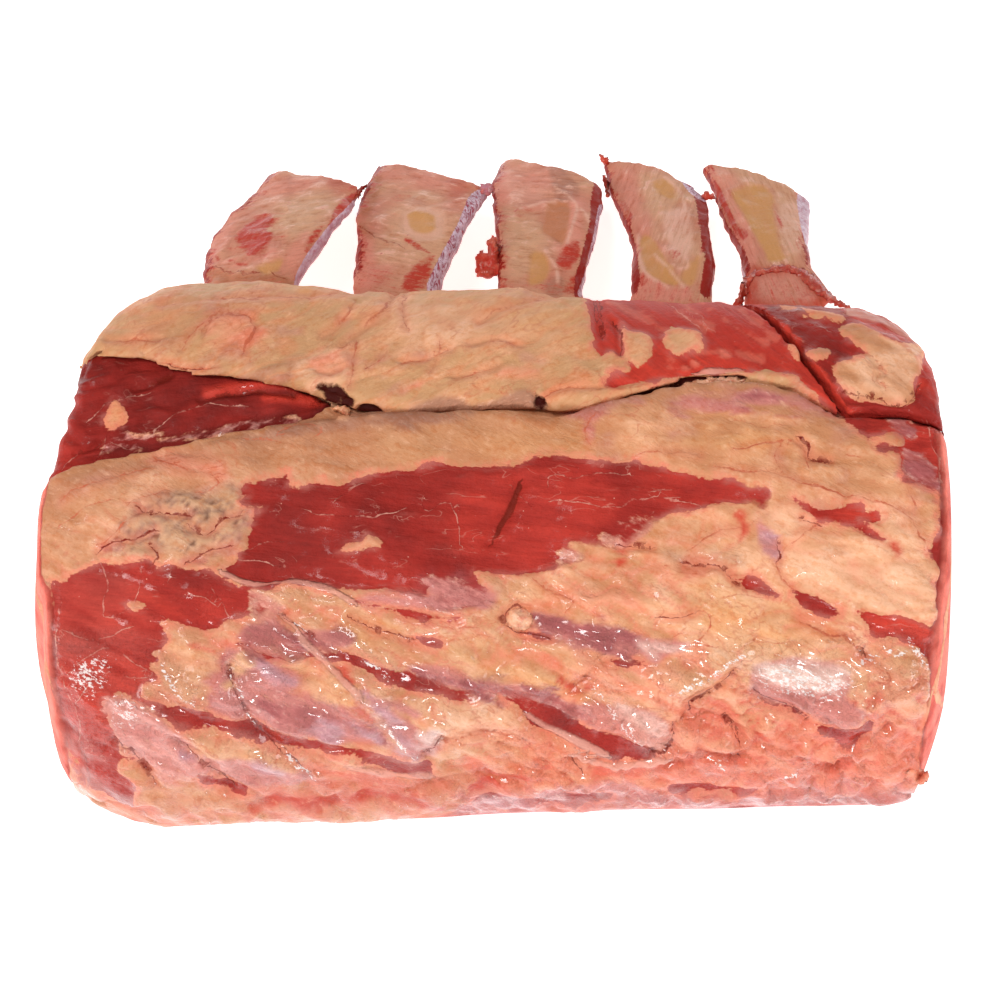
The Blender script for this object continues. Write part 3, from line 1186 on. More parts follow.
bloody = np.maximum(low_edge * (0.3 + 0.7 * ease(u, 380.0, 520.0)), 0.7 * low_front)
blotches = 0.22 + 0.6 * ease(skin.strand + skin.cloudy, -0.05, 0.25)
skin.brush(skin.cover, BLOOD, bloody * front * blotches)
skin.cover *= (1.0 - 0.1 * low_edge * front)[:, None]
skin.cover *= 1.0 - np.array([LEFT_SHADE]) * ease(u, 560.0, 420.0)[:, None]
skin.brush(skin.cover, STAIN, 0.35 * under_flap * shown)
skin.brush(skin.cover, MAUVE_FILM, ease(film, -1.0, 1.0) * 0.9 + under * 0.5)
skin.dab(skin.cover, FILM_DABS)
skin.brush(skin.cover, ROSE_FAT, 0.4 * low_front * front)
bottom = 0.55 * ease(v, 784.0, 800.0) * ease(u, 420.0, 500.0)
skin.brush(skin.cover, VIOLET_FILM, bottom * front)
darker = 0.25 * ease(v, 620.0, 540.0) * ease(u, 480.0, 300.0) * front + 0.1 * under
paint_lean(skin, darker + 0.14)
skin.dab(skin.flesh, LEAN_DABS)
skin.brush(skin.flesh, SCARLET, 0.7 * end_face * ease(v, 440.0, 520.0))
skin.brush(skin.flesh, ROSE_FILM, end_face * (0.2 + 2.5 * skin.cloudy))
end_rim = end_face * ease(skin.normal @ np.array(to_camera), 0.02, 0.3)
skin.brush(skin.flesh, RIM_RED, end_rim * (0.75 + 2.0 * skin.cloudy))
skin.lay_paint()

wet_spots = skin.patch(WET_SPOTS, 4.0)
bloodshot = (0.25 + 0.6 * low_edge * ease(u, 500.0, 640.0)) * front
bloodshot *= ease(skin.broad + 0.4 * slope, -0.1, 0.5)
gleam = 0.67 * skin.patch(GLEAM_PATCHES, 6.0) + 0.2 * low_edge
skin.lay_all(
    lean=lean,
    film=film,
    crisp=1.0 - 0.85 * skin.patch(SOFT_BORDERS, 3.0),
    wet=np.clip(wet_spots * 0.9 + 0.45 * slope, 0.0, 1.0) * front + 0.1,
    bloodshot=bloodshot,
    web=1.0 - end_face,
    gape=skin.patch([GASH], 3.0),
    gleam=np.maximum(0.8 * skin.ridge(GLEAMS, 2.2), gleam) * front,
)
skin.lay_line("thread", *THREADS)
skin.lay_line("cord", *TENDONS)
skin.lay_line("crack", *CRACKS)
skin.lay_line("vein", *PINK_LINES, *BROWN_LINES, *LOBE_EDGES)

thick = ease(-lean, -1.0, 1.5)
relief = thick * (1.2 + 7.0 * skin.broad + 1.5 * skin.cloudy + 1.5 * skin.strand)
rope_height = (2.5 - 0.8 * lumpy) * (ropes - 0.6) * roped
relief += thick * (rope_height + 0.9 * (crinkles - 0.6) * stained)
relief += (1.0 - thick) * (1.2 * skin.cloudy + 2.0 * skin.strand) + 1.8 * crest
relief += 0.9 * skin.ridge(TENDONS, 2.0) + 0.8 * skin.ridge(GLEAMS, 4.0) - 1.7 * crack_near
relief -= 0.6 * skin.ridge(CRACKS, 6.0) + 1.3 * fold + 0.5 * skin.ridge(LOBE_EDGES, 7.0)
relief += 0.7 * skin.fold(PINK_LINES, 6.0) - 0.5 * skin.ridge(BROWN_LINES, 2.0)
relief += 1.2 * skin.fold(LOBE_EDGES, 8.0) - 0.6 * skin.ridge(BLOODY_SEAMS, 2.5)
skin.push((relief - 1.0) * front)
beef = meat_finish("trimmed beef")
loin.data.materials.append(beef)
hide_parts("loin")
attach(loin, "root")


# ---------------------------------------------------------------- cap flap
# The flap of cap fat over the back edge. Its left two thirds are fat, the rest is
# the red muscle under it, with patches of fat left on. Held by its own membrane.
CAP_MUSCLE = [
    (588,285), (640,285), (720,285), (760,300), (800,340), (850,400), (850,424), (835,415),
    (815,394), (800,380), (779,371), (739,371), (702,376), (660,379), (621,386), (606,384),
    (612,375), (629,369), (625,356), (610,349), (601,356), (595,345), (591,320),
]
CAP_FAT_SPOTS = [
    [(621,323), (629,330), (642,332), (652,339), (650,354), (639,364), (626,356),
     (621,341)],
    [(662,335), (672,328), (698,331), (705,345), (698,351), (675,353), (665,344)],
    [(749,376), (779,372), (800,376), (788,386), (759,387)],
    [(787,344), (795,345), (801,355), (795,356)],
    [(560,398), (600,389), (649,382), (682,377), (660,390), (620,397), (580,408)],
]
CAP_RAW_EDGE = [(604,382), (648,366), (731,372), (793,371)]
CAP_BACK = 440.0
CAP_RAW_SPOT = [(300,362), (320,352), (345,360), (352,385), (330,392), (306,385)]
CAP_CREASES = [
    [(206,332), (213,320), (228,314), (246,317), (256,325), (252,337), (244,352)],
    [(181,350), (190,336), (202,324), (216,312)],
    [(160,306), (205,300), (260,297), (300,297), (340,294), (362,292)],
    [(396,290), (388,302), (375,316), (362,328), (342,345)],
    [(404,294), (402,310), (406,330)],
    [(350,308), (340,322), (322,334)],
    [(556,294), (530,298), (505,306), (490,313), (478,322)],
    [(356,340), (353,362), (349,386)],
    [(440,345), (437,356), (430,370)],
    [(455,377), (475,374), (488,370), (498,366)],
    [(402,362), (430,358), (452,350)],
    [(150,363), (170,364), (190,369), (216,367)],
    [(108,340), (135,342), (160,340)],
    [(545,397), (560,390), (600,388), (640,384)],
    [(470,345), (500,340), (520,346)],
    [(369,368), (377,360), (385,351)],
    [(320,372), (330,374), (340,370)],
]
CAP_CRACKS = [
    [(594,298), (596,318), (602,334)],
    [(600,299), (602,318), (604,330)],
    [(170,366), (184,370), (204,369)],
    [(613,320), (620,335), (620,352)],
]
CAP_HOLES = [
    [(318,392), (324,384), (337,382), (346,392), (353,402), (348,408), (338,403),
     (326,402)],
    [(300,413), (328,407), (347,410), (348,419), (326,419)],
    [(352,413), (366,406), (380,412), (378,415), (356,416)],
    [(534,391), (542,398), (548,410), (540,410), (534,402)],
    [(622,400), (643,391), (677,384), (682,378), (716,378), (735,376), (746,380), (716,383),
     (687,388), (660,392), (643,397)],
]
CAP_OPENINGS = [
    [(409,411), (423,402), (437,397), (455,397), (466,403), (482,414), (440,416)],
    [(474,406), (490,402), (504,396), (520,389), (534,391), (546,410), (520,413),
     (484,414)],
]
CAP_CORD = [(698,373), (720,370), (739,369)]
CAP_STRIPES = [
    [(660,298), (682,312), (703,328)],
    [(682,300), (700,314), (713,328)],
    [(698,298), (720,314), (739,328), (764,341)],
    [(741,308), (760,322), (777,336)],
    [(610,300), (640,312), (665,328)],
    [(690,352), (720,350), (760,356)],
]
CAP_DABS = [
    (CREAM_FAT, 0.8, 5.0, [(360,300), (480,300), (560,310), (560,350), (470,350),
        (380,340)]),
    (WHITE_FAT, 0.5, 5.0, [(405,305), (470,302), (484,330), (440,345), (405,335)]),
    (ORANGE_FAT, 0.6, 3.0, [(545,373), (582,373), (604,384), (582,392), (545,388)]),
    (ORANGE_FAT, 0.5, 4.0, [(90,345), (130,320), (180,300), (200,312), (150,345)]),
    (PINK_FAT, 0.5, 3.0, [(205,315), (250,316), (258,335), (240,355), (210,340)]),
    (PINK_FAT, 0.6, 3.0, [(506,362), (538,364), (540,384), (510,382)]),
    (YELLOW_FAT, 0.8, 1.2, [(298,292), (306,284), (316,282), (310,292)]),
    (STAIN, 0.35, 3.0, [(100,358), (200,362), (300,372), (320,384), (220,374), (110,366)]),
    (STAIN, 0.3, 3.0, [(205,352), (260,350), (330,360), (300,372), (230,366)]),
    (WHITE_FAT, 0.5, 2.0, CAP_RAW_SPOT),
    (PINK_FAT, 0.5, 2.0, [(309,356), (345,358), (348,373), (320,374)]),
    (CREAM_FAT, 0.7, 2.0, CAP_FAT_SPOTS[0]),
    (CREAM_FAT, 0.8, 2.0, CAP_FAT_SPOTS[1]),
    (YELLOW_FAT, 0.5, 5.0, [(430,290), (540,290), (585,310), (580,340), (520,320)]),
    (STAIN, 0.25, 3.0, [(150,330), (200,310), (260,300), (200,330), (160,350)]),
]
CAP_LEAN_DABS = [
    (BRIGHT_LEAN, 0.8, 5.0, [(640,300), (760,310), (800,350), (700,350), (640,330)]),
    (SCARLET, 0.9, 2.0, [(606,384), (640,366), (700,360), (790,370), (800,378), (740,374),
        (650,378), (620,386)]),
    (BRIGHT_LEAN, 0.6, 2.0, [(590,290), (604,300), (610,350), (596,350)]),
    (ROSE_FAT, 0.5, 1.0, [(666,362), (672,362), (672,367), (666,367)]),
    (ROSE_FAT, 0.5, 1.0, [(686,363), (694,363), (693,368), (687,368)]),
    (ROSE_FAT, 0.5, 1.0, [(721,347), (729,347), (728,352), (722,352)]),
    (ROSE_FAT, 0.5, 1.0, [(766,345), (773,346), (771,351), (766,350)]),
]
CAP_GRAIN = math.radians(38.0)
CAP_RUN = math.radians(-24.0)
CAP_TAN = colour(0.64, 0.335, 0.165)
CAP_VOXEL = 0.0022

cap = fine_copy("cap_flap", "cap_flap_meat", CAP_VOXEL)
skin = Canvas(cap)
u, v = skin.u, skin.v
skin.grow(CAP_GRAIN, CAP_RUN, 3.0)
skin.lay_grain(ease(u, 600.0, 580.0))
lean = np.minimum(skin.depth(CAP_MUSCLE), -skin.depth(*CAP_FAT_SPOTS))
creased = skin.ridge(CAP_CREASES, 2.6)
lip = ease(v, 360.0, 395.0) * ease(u, 380.0, 520.0)
ropes = skin.folds(13.0, 3.5, 27.0)
raw_edge = skin.ridge([CAP_RAW_EDGE], 4.0)
back = ease(np.abs(u - CAP_BACK), 120.0, 30.0)
skin.paint(CAP_TAN, RED_LEAN)
paint_fat(skin, 0.3 * lip - 0.35, 0.25 * back - 0.25)
skin.dab(skin.cover, CAP_DABS)
skin.brush(skin.cover, ORANGE_FAT, 0.5 * ease(ropes, 0.3, 0.0))
skin.brush(skin.cover, ROSE_FAT, 0.25 * skin.ridge(CAP_CREASES, 4.0))
skin.brush(skin.cover, STAIN, skin.patch(CAP_OPENINGS, 1.5) * 0.85)
paint_lean(skin, 0.05)
skin.brush(skin.flesh, SCARLET, 0.8 + 2.0 * skin.strand)
skin.dab(skin.flesh, CAP_LEAN_DABS)
skin.stroke(skin.flesh, [(ROSE_FAT, 0.35, 1.0, points) for points in CAP_STRIPES])
skin.lay_paint()
skin.lay_all(
    lean=lean,
    film=skin.depth(*CAP_OPENINGS),
    wet=0.25 * raw_edge + 0.2 * ease(v, 330.0, 300.0) * ease(u, 260.0, 120.0),
    bloodshot=0.15 + 0.3 * lip,
    cavity=skin.depth(*CAP_HOLES),
    web=0.3,
)
skin.lay_line("thread", *CAP_STRIPES[:2])
skin.lay_line("cord", CAP_CORD)
skin.lay_line("crack", *CAP_CRACKS)
skin.lay_line("vein", *CAP_CREASES)
thick = ease(-lean, -1.0, 1.5)
relief = thick * (0.9 + 2.6 * skin.broad + 0.9 * skin.cloudy + 1.0 * skin.strand)
relief += (1.0 - thick) * 2.5 * skin.strand - 0.9 * creased
relief += thick * (0.7 * skin.fold(CAP_CREASES, 9.0) + 0.5 * (ropes - 0.6))
relief += 0.8 * skin.patch(CAP_FAT_SPOTS, 2.0)
relief -= 1.3 * skin.ridge(CAP_CRACKS, 2.0) + 2.5 * skin.patch(CAP_HOLES, 1.5)
skin.push_top(relief - 0.9)
cap.data.materials.append(beef)
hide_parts("cap_flap")
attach(cap, "root")

# ---------------------------------------------------------------- end flap
# The short piece of the flap right of the slanting cut: red muscle at the back and
# at the end, and a thick patch of fat, folded over the front edge.
END_FAT = [
    (841,328), (856,322), (871,327), (899,340), (925,346), (922,364), (915,382), (914,397),
    (899,405), (879,400), (843,390), (836,374), (838,362), (864,351), (848,339),
]
END_SCRAPS = [
    [(805,352), (823,348), (829,353), (811,360)],
    [(779,305), (810,308), (843,315), (834,319), (802,313)],
]
END_CRACKS = [
    [(844,391), (862,392), (881,396), (890,402)],
    [(890,402), (903,405), (912,396), (922,384)],
]
END_WRINKLES = [
    [(880,372), (876,380), (884,388)],
    [(866,352), (874,360), (884,372)],
    [(846,398), (870,400), (900,402)],
]
END_THREADS = [
    [(844,311), (880,318), (905,332)],
    [(880,312), (918,335)],
    [(760,315), (800,322), (830,330)],
]
END_CORD = [(850,309), (890,322), (925,345)]
END_DABS = [
    (WHITE_FAT, 0.6, 3.0, END_FAT[3:11]),
    (ORANGE_FAT, 0.8, 1.5, END_SCRAPS[1]),
]
END_LEAN_DABS = [
    (SCARLET, 0.6, 3.0, [(850,306), (900,312), (936,350), (940,400), (925,390)]),
    (DARK_LEAN, 0.45, 4.0, [(775,312), (815,320), (850,345), (836,392), (800,345)]),
    (SCARLET, 0.9, 1.5, [(752,306), (764,308), (808,356), (836,388), (856,420), (848,426),
        (800,362)]),
]
END_GRAIN = math.radians(33.0)
FLAP_VOXEL = 0.0016

end_piece = fine_copy("end_flap", "end_flap_meat", FLAP_VOXEL)
skin = Canvas(end_piece)
skin.grow(END_GRAIN, END_GRAIN, 7.0)
skin.lay_grain(0.0)
lean = -skin.depth(END_FAT, *END_SCRAPS)
wrinkled = skin.ridge(END_WRINKLES, 3.0)
skin.paint(TAN_FAT, RED_LEAN)
paint_fat(skin, -0.2 + 0.5 * wrinkled, 0.1)
skin.dab(skin.cover, END_DABS)
paint_lean(skin, 0.05)
skin.dab(skin.flesh, END_LEAN_DABS)
skin.lay_paint()
skin.lay_all(lean=lean, wet=0.25, bloodshot=0.4 * wrinkled)
skin.lay_line("thread", *END_THREADS)
skin.lay_line("cord", END_CORD)
skin.lay_line("crack", *END_CRACKS)
skin.lay_line("vein", *END_WRINKLES)
relief = 1.3 * skin.patch([END_FAT, *END_SCRAPS], 1.5) + 2.0 * skin.cloudy - 1.3 * wrinkled
relief -= 1.6 * skin.ridge(END_CRACKS, 3.0)
skin.push_top(relief - 0.8)
end_piece.data.materials.append(beef)
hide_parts("end_flap")
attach(end_piece, "root")

# ---------------------------------------------------------------- muscle under the flap
# The dark strap of muscle that the flap leaves bare at the left, silvery along its
# lower edge, with one scrap of fat and open slits between its strands.
STRIP_SCRAP = [(103,419), (112,401), (117,400), (125,410), (123,423), (112,429)]
STRIP_FILM = [
    [(109,432), (123,430), (134,436), (153,435), (162,432), (147,443), (136,449), (110,451),
     (101,453)],
    [(155,443), (190,432), (212,430), (247,419), (299,419), (268,430), (199,436),
     (162,445)],
]
STRIP_THREADS = [
    [(125,430), (134,435), (149,435), (164,421), (190,406), (220,405), (251,406)],
    [(114,442), (125,447), (142,447)],
    [(109,432), (101,451), (95,460)],
    [(88,419), (99,410), (103,404), (114,400), (129,397), (151,391)],
    [(77,453), (70,460), (64,467)],
]
STRIP_SLITS = [
    [(221,393), (247,389), (277,391), (294,394)],
    [(134,387), (153,382), (171,373)],
    [(200,399), (215,394), (221,393)],
    [(75,452), (90,448), (100,442)],
]
STRIP_CRESTS = [
    [(207,391), (240,384), (277,382), (299,386)],
    [(266,396), (300,398), (320,401)],
]
STRIP_GRAIN = math.radians(-9.0)
STRIP_RUN = math.radians(-20.0)

strip = fine_copy("flap_strip", "strip_meat", FLAP_VOXEL)
skin = Canvas(strip)
skin.grow(STRIP_GRAIN, STRIP_RUN, 9.0)
skin.lay_grain(0.0)
slit = skin.ridge(STRIP_SLITS[:1], 4.0)
lit = skin.ridge(STRIP_CRESTS, 3.2)
hollow = ease(skin.u, 300.0, 345.0)
left_end = ease(skin.u, 130.0, 90.0)
skin.paint(ORANGE_FAT, RED_LEAN)
paint_fat(skin, 0.0, 0.0)
skin.brush(skin.cover, MAUVE_FILM, 0.8 * skin.patch(STRIP_FILM, 1.0))
skin.brush(skin.cover, VIOLET_FILM, 0.5 * skin.patch(STRIP_FILM, 1.0))
paint_lean(skin, 0.62 - 0.8 * lit + 0.5 * slit - 0.35 * left_end + 0.6 * hollow)
skin.brush(skin.flesh, SCARLET, 0.7 * lit)
skin.lay_paint()
skin.lay_all(
    lean=np.minimum(6.0, -skin.depth(STRIP_SCRAP)),
    film=np.minimum(skin.depth(*STRIP_FILM), -0.4),
    wet=0.2 + 0.3 * lit,
    web=0.4,
)
skin.lay_line("thread", *STRIP_THREADS)
skin.lay_line("cord")
skin.lay_line("crack", *STRIP_SLITS)
skin.lay_line("vein")
strand_bulge = np.sin(skin.fibres[:, 0] * 0.55 + 18.0 * skin.broad) * 0.6
relief = strand_bulge - 1.8 * skin.ridge(STRIP_SLITS, 2.5)
relief += 0.5 * skin.patch([STRIP_SCRAP], 1.0)
skin.push_top(relief - 0.8)
strip.data.materials.append(beef)
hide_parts("flap_strip")
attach(strip, "root")

# ---------------------------------------------------------------- rib bones
# Five rib bones scraped clean behind the meat. The scraping has opened the spongy
# marrow in ovals and left blood in the scratches; the flanks still carry frosty
# membrane. The bones are held in the meat they grew in.
BONE_ROSE = colour(0.62, 0.237, 0.157)
BONE_PINK = colour(0.74, 0.281, 0.203)
BONE_CREAM = colour(0.68, 0.358, 0.215)
BONE_PALE = colour(0.83, 0.462, 0.348)
BONE_TAN = colour(0.50, 0.185, 0.10)
BONE_BLOOD = colour(0.50, 0.035, 0.020)
BONE_DARK = colour(0.30, 0.014, 0.010)
MARROW = colour(0.65, 0.305, 0.117)
ROSE_MARROW = colour(0.57, 0.21, 0.105)
GREY_MARROW = colour(0.46, 0.19, 0.125)
FROST = colour(0.92, 0.76, 0.88)
FROST_PINK = colour(0.52, 0.20, 0.25)
MILK = colour(0.78, 0.62, 0.72)
CRIMSON = colour(0.42, 0.07, 0.10)
# The outline of each bone in the photo: left edge, cut tip, right edge.
RIB_OUTLINES = [
    ([(268,173), (259,182), (249,194), (228,213), (212,237), (206,255), (203,280)],
     [(268,173), (277,170), (287,170), (293,174), (328,178), (364,184)],
     [(364,184), (361,198), (354,214), (338,231), (320,257), (307,274), (300,288)]),
    ([(382,162), (374,170), (366,184), (358,202), (353,220), (358,236), (353,284)],
     [(380,163), (405,165), (431,172), (455,176), (482,181)],
     [(484,182), (487,200), (473,221), (461,247), (447,274), (441,290)]),
    ([(500,162), (497,172), (490,184), (492,203), (495,217), (496,237), (497,276)],
     [(498,161), (511,157), (526,161), (555,165), (577,170), (601,180)],
     [(601,182), (602,210), (597,237), (589,266), (583,293)]),
    ([(600,157), (605,169), (608,188), (615,205), (626,232), (631,251), (631,290)],
     [(600,157), (605,156), (612,160), (639,161), (661,165), (678,174), (700,184)],
     [(700,184), (706,196), (709,215), (711,237), (715,266), (712,293)]),
    ([(701,165), (704,174), (711,191), (716,210), (725,232), (737,254), (744,290)],
     [(700,166), (712,163), (727,165), (748,169), (773,174), (803,184)],
     [(803,186), (810,205), (808,245), (812,268), (826,286), (838,300)]),
]
# Scratches run across the first bones and nearly along the last ones.
RIB_TILTS = (-9.0, 9.0, 4.0, -70.0, 65.0)
BONE_DABS = [
    (BONE_CREAM, 0.9, 6.0, [(280,198), (322,188), (336,205), (300,244), (272,216)]),
    (BONE_PINK, 0.8, 3.0, [(258,180), (286,172), (330,183), (300,193), (252,204)]),
    (BONE_PINK, 0.7, 2.0, [(206,268), (212,238), (230,214), (238,220), (222,244)]),
    (BONE_BLOOD, 0.4, 2.0, [(330,178), (364,184), (358,192), (335,194)]),
    (BONE_TAN, 0.9, 1.0, [(202,277), (216,269), (240,275), (270,272), (290,286),
        (202,294)]),
    (BONE_PINK, 0.6, 2.0, [(212,258), (232,258), (240,267), (216,267)]),
    (BONE_PINK, 0.8, 2.0, [(290,245), (308,232), (306,258), (296,275), (286,262)]),
    (BONE_CREAM, 0.8, 5.0, [(395,205), (440,205), (448,235), (425,262), (380,262),
        (385,225)]),
    (BONE_TAN, 0.75, 1.2, [(383,166), (382,180), (377,199), (370,214), (360,213), (362,197),
        (369,182)]),
    (BONE_TAN, 0.8, 0.8, [(357,226), (365,226), (374,236), (360,236)]),
    (BONE_PINK, 0.6, 3.0, [(384,168), (440,176), (470,184), (440,192), (390,184)]),
    (BONE_PINK, 0.8, 2.0, [(356,240), (372,242), (374,284), (354,284)]),
    (BONE_BLOOD, 0.35, 2.5, [(450,178), (482,182), (466,200), (452,196)]),
    (BONE_CREAM, 0.9, 5.0, [(506,215), (540,222), (545,250), (520,280), (502,262)]),
    (BONE_PINK, 0.8, 2.5, [(496,172), (512,160), (560,168), (545,190), (500,204)]),
    (BONE_PALE, 0.3, 2.0, [(505,180), (545,188), (540,200), (512,196)]),
    (GREY_MARROW, 0.75, 1.2, [(548,168), (562,168), (577,184), (579,199), (567,205),
        (556,196), (552,182)]),
    (GREY_MARROW, 0.8, 1.5, [(545,284), (552,276), (562,276), (566,288), (560,296),
        (545,296)]),
    (BONE_PINK, 0.8, 2.5, [(572,200), (584,205), (582,240), (570,262), (558,250)]),
    (BONE_PINK, 0.7, 3.0, [(612,168), (650,168), (640,190), (650,230), (632,232),
        (622,198)]),
    (BONE_CREAM, 0.8, 3.0, [(640,172), (672,176), (682,200), (660,222), (644,200)]),
    (BONE_PALE, 0.7, 1.5, [(664,212), (690,212), (694,245), (680,262), (668,240)]),
    (BONE_TAN, 0.6, 1.5, [(690,212), (699,216), (700,240), (692,240)]),
    (BONE_PINK, 0.9, 1.5, [(628,280), (650,270), (672,288), (690,288), (685,300),
        (624,300)]),
    (BONE_CREAM, 0.8, 3.0, [(716,168), (780,176), (796,200), (800,250), (786,262),
        (776,222), (770,192), (730,186)]),
    (BONE_PINK, 0.7, 2.0, [(702,166), (726,166), (740,182), (720,190)]),
    (BONE_PINK, 0.8, 2.0, [(728,196), (742,210), (752,236), (756,262), (742,262),
        (730,225)]),
    (BONE_PALE, 0.5, 1.5, [(778,210), (796,205), (802,250), (788,248)]),
    (BONE_BLOOD, 0.7, 2.0, [(744,268), (765,266), (795,266), (815,280), (845,308),
        (734,308), (738,285)]),
    (BONE_PALE, 0.45, 3.0, [(762,276), (790,274), (806,286), (812,300), (770,302),
        (756,290)]),
]
MARROW_DABS = [
    (MARROW, 0.95, 1.0, [(257,268), (269,261), (282,258), (282,266), (277,272), (263,274)]),
    (BONE_PALE, 0.5, 1.8, [(402,214), (424,206), (444,214), (444,234), (428,240),
        (404,232)]),
    (MARROW, 1.0, 0.7, [(407,215), (417,212), (431,213), (436,219), (435,228), (427,233),
        (415,231), (409,225)]),
    (ROSE_MARROW, 0.95, 0.8, [(550,205), (567,205), (570,215), (564,244), (552,237),
        (541,230), (545,215)]),
    (MARROW, 0.95, 1.4, [(533,251), (545,256), (550,268), (545,280), (531,285), (528,276)]),
    (MARROW, 0.85, 0.9, [(652,184), (664,180), (673,186), (675,199), (664,196)]),
    (MARROW, 0.95, 0.7, [(641,237), (649,236), (659,247), (669,266), (681,283), (664,283),
        (644,271), (641,251)]),
    (MARROW, 0.8, 1.0, [(681,276), (690,285), (698,276), (698,256)]),
    (MARROW, 1.0, 1.0, [(739,187), (761,186), (773,196), (775,222), (782,251), (785,259),
        (770,261), (763,249), (748,220), (734,198)]),
]
RIDGES = [
    [(555,188), (570,199), (577,208), (574,222), (567,244)],
    [(520,210), (540,205), (556,203)],
    [(638,236), (641,262), (648,275), (668,288)],
    [(665,178), (680,192), (686,212)],
    [(673,266), (680,270), (688,266), (686,258)],
    [(655,255), (668,268), (684,288)],
    [(545,252), (556,268), (558,282)],
    [(581,210), (586,216), (590,222)],
]
COMBED_BLOODS = [
    (1.0, 2.5, [(235,237), (245,225), (257,217), (273,214), (275,223), (269,229), (275,235),
        (269,243), (265,251), (253,257), (243,251), (237,244)]),
    (0.35, 4.0, [(228,240), (250,212), (285,212), (282,250), (250,266), (232,256)]),
    (0.8, 1.0, [(213,258), (217,255), (221,259), (217,262)]),
    (0.9, 1.2, [(332,214), (342,200), (358,190), (356,204), (342,216), (326,232)]),
    (0.7, 1.2, [(304,246), (314,230), (324,226), (318,240), (308,254)]),
    (0.6, 0.8, [(226,260), (240,261), (249,266), (238,266)]),
    (0.45, 1.0, [(390,197), (402,194), (424,198), (405,201)]),
    (0.8, 0.9, [(404,239), (410,238), (421,245), (431,253), (417,250)]),
    (0.55, 0.8, [(372,240), (386,243), (400,247), (388,247)]),
    (0.9, 2.5, [(401,290), (407,274), (421,260), (433,257), (431,276), (424,292)]),
    (0.4, 3.0, [(366,262), (392,266), (400,286), (366,284)]),
    (0.5, 2.0, [(510,208), (530,207), (532,218), (520,220)]),
    (0.85, 1.5, [(556,261), (562,250), (577,240), (581,252), (572,268), (560,268)]),
    (0.8, 2.0, [(562,292), (572,276), (588,268), (584,294)]),
    (0.6, 1.0, [(499,276), (508,280), (504,294), (494,294)]),
    (0.6, 1.2, [(504,170), (508,174), (500,184), (496,180)]),
    (0.7, 1.2, [(610,200), (624,200), (634,216), (628,226), (616,212)]),
    (0.6, 1.2, [(634,270), (648,276), (644,286), (630,282)]),
    (0.5, 1.2, [(668,252), (680,250), (682,258), (672,262)]),
    (0.9, 1.4, [(708,180), (714,178), (724,193), (732,212), (740,226), (749,232), (746,240),
        (736,236), (727,222), (716,200)]),
    (0.5, 2.0, [(772,205), (782,215), (784,236), (776,225)]),
    (0.25, 2.0, [(742,266), (790,268), (815,276), (838,300), (740,304), (738,285)]),
]
DARK_BANDS = [
    [(366,184), (371,184), (364,200), (358,208), (356,204)],
    [(596,174), (603,180), (603,205), (598,225), (592,245), (586,268), (583,294), (574,294),
     (577,270), (584,245), (589,222), (591,200)],
    [(489,185), (494,186), (497,210), (500,240), (500,292), (494,292), (493,240)],
    [(600,160), (608,166), (610,190), (620,206), (630,228), (637,250), (640,275), (636,292),
     (628,292), (630,262), (624,232), (612,205), (604,188)],
    [(694,190), (706,198), (709,215), (712,240), (716,266), (713,294), (701,294), (704,262),
     (701,238), (698,214)],
    [(702,174), (712,190), (722,212), (734,234), (746,254), (750,268), (744,276), (735,256),
     (724,232), (714,208)],
]
CRIMSON_FLANKS = [
    [(467,201), (474,192), (484,190), (486,204), (470,224), (458,248), (446,274), (439,292),
     (427,290), (431,274), (445,247), (457,225)],
    [(598,210), (602,208), (601,232), (592,262), (584,294), (578,292), (588,262)],
    [(676,172), (704,190), (708,202), (694,196), (684,186)],
]
FROST_FLANKS = [
    [(360,196), (357,216), (340,232), (322,258), (309,276), (300,290), (293,286), (301,264),
     (315,243), (330,224), (345,209)],
    [(481,190), (490,200), (488,212), (473,224), (463,248), (449,274), (443,292), (437,290),
     (445,272), (457,246), (468,224), (480,206)],
    [(797,198), (803,190), (812,205), (811,254), (804,240), (800,222)],
    [(716,206), (724,232), (736,254), (747,278), (742,278), (732,256), (720,234)],
]
BONE_SCRATCHES = [
    [(204,274), (216,267), (226,271), (242,273), (258,271)],
    [(273,272), (278,276), (284,279)],
    [(360,226), (368,231), (374,237)],
    [(374,237), (390,243), (402,247)],
]
RIB_VOXEL = 0.0017
BRUSH_RAGGED = 0.2
# Pixels to a millimetre at the bones, and the photo's rows that cross them.
BONE_SCALE = 2.52
BONE_ROWS = np.arange(168.0, 330.0, 6.0)
ROW_HALF = 5.0
TIP_REACH = 75.0
TIP_HELD = 12.0
BONE_END = 300.0


def fit_outline(skin, left, tip, right):
    """Shifts a rib copy sideways and along so that it has the traced outline."""
    top = skin.v.min()
    rows = [np.abs(skin.v - row) < ROW_HALF for row in BONE_ROWS]
    now_left = np.interp(skin.v, BONE_ROWS, [skin.u[row].min() for row in rows])
    now_right = np.interp(skin.v, BONE_ROWS, [skin.u[row].max() for row in rows])
    near_tip = ease(skin.v, top + TIP_REACH, top + TIP_HELD)

    def edge_at(line, tip_v):
        down = skin.v + (tip_v - top) * near_tip
        return np.interp(down, [p[1] for p in line], [p[0] for p in line])

    new_left, new_right = edge_at(left, tip[0][1]), edge_at(right, tip[-1][1])
    share = (skin.u - now_left) / np.maximum(now_right - now_left, 1.0)
    u = new_left + share * (new_right - new_left)
    tip_v = np.interp(u, [p[0] for p in tip], [p[1] for p in tip])
    held = ease(skin.v, BONE_END + 20.0, BONE_END - 10.0)
    skin.place[:, 0] += (u - skin.u) * held / BONE_SCALE
    skin.place[:, 1] -= (tip_v - top) * near_tip / (BONE_SCALE * math.sin(ELEVATION))
    skin.u, skin.v = in_photo(skin.place)


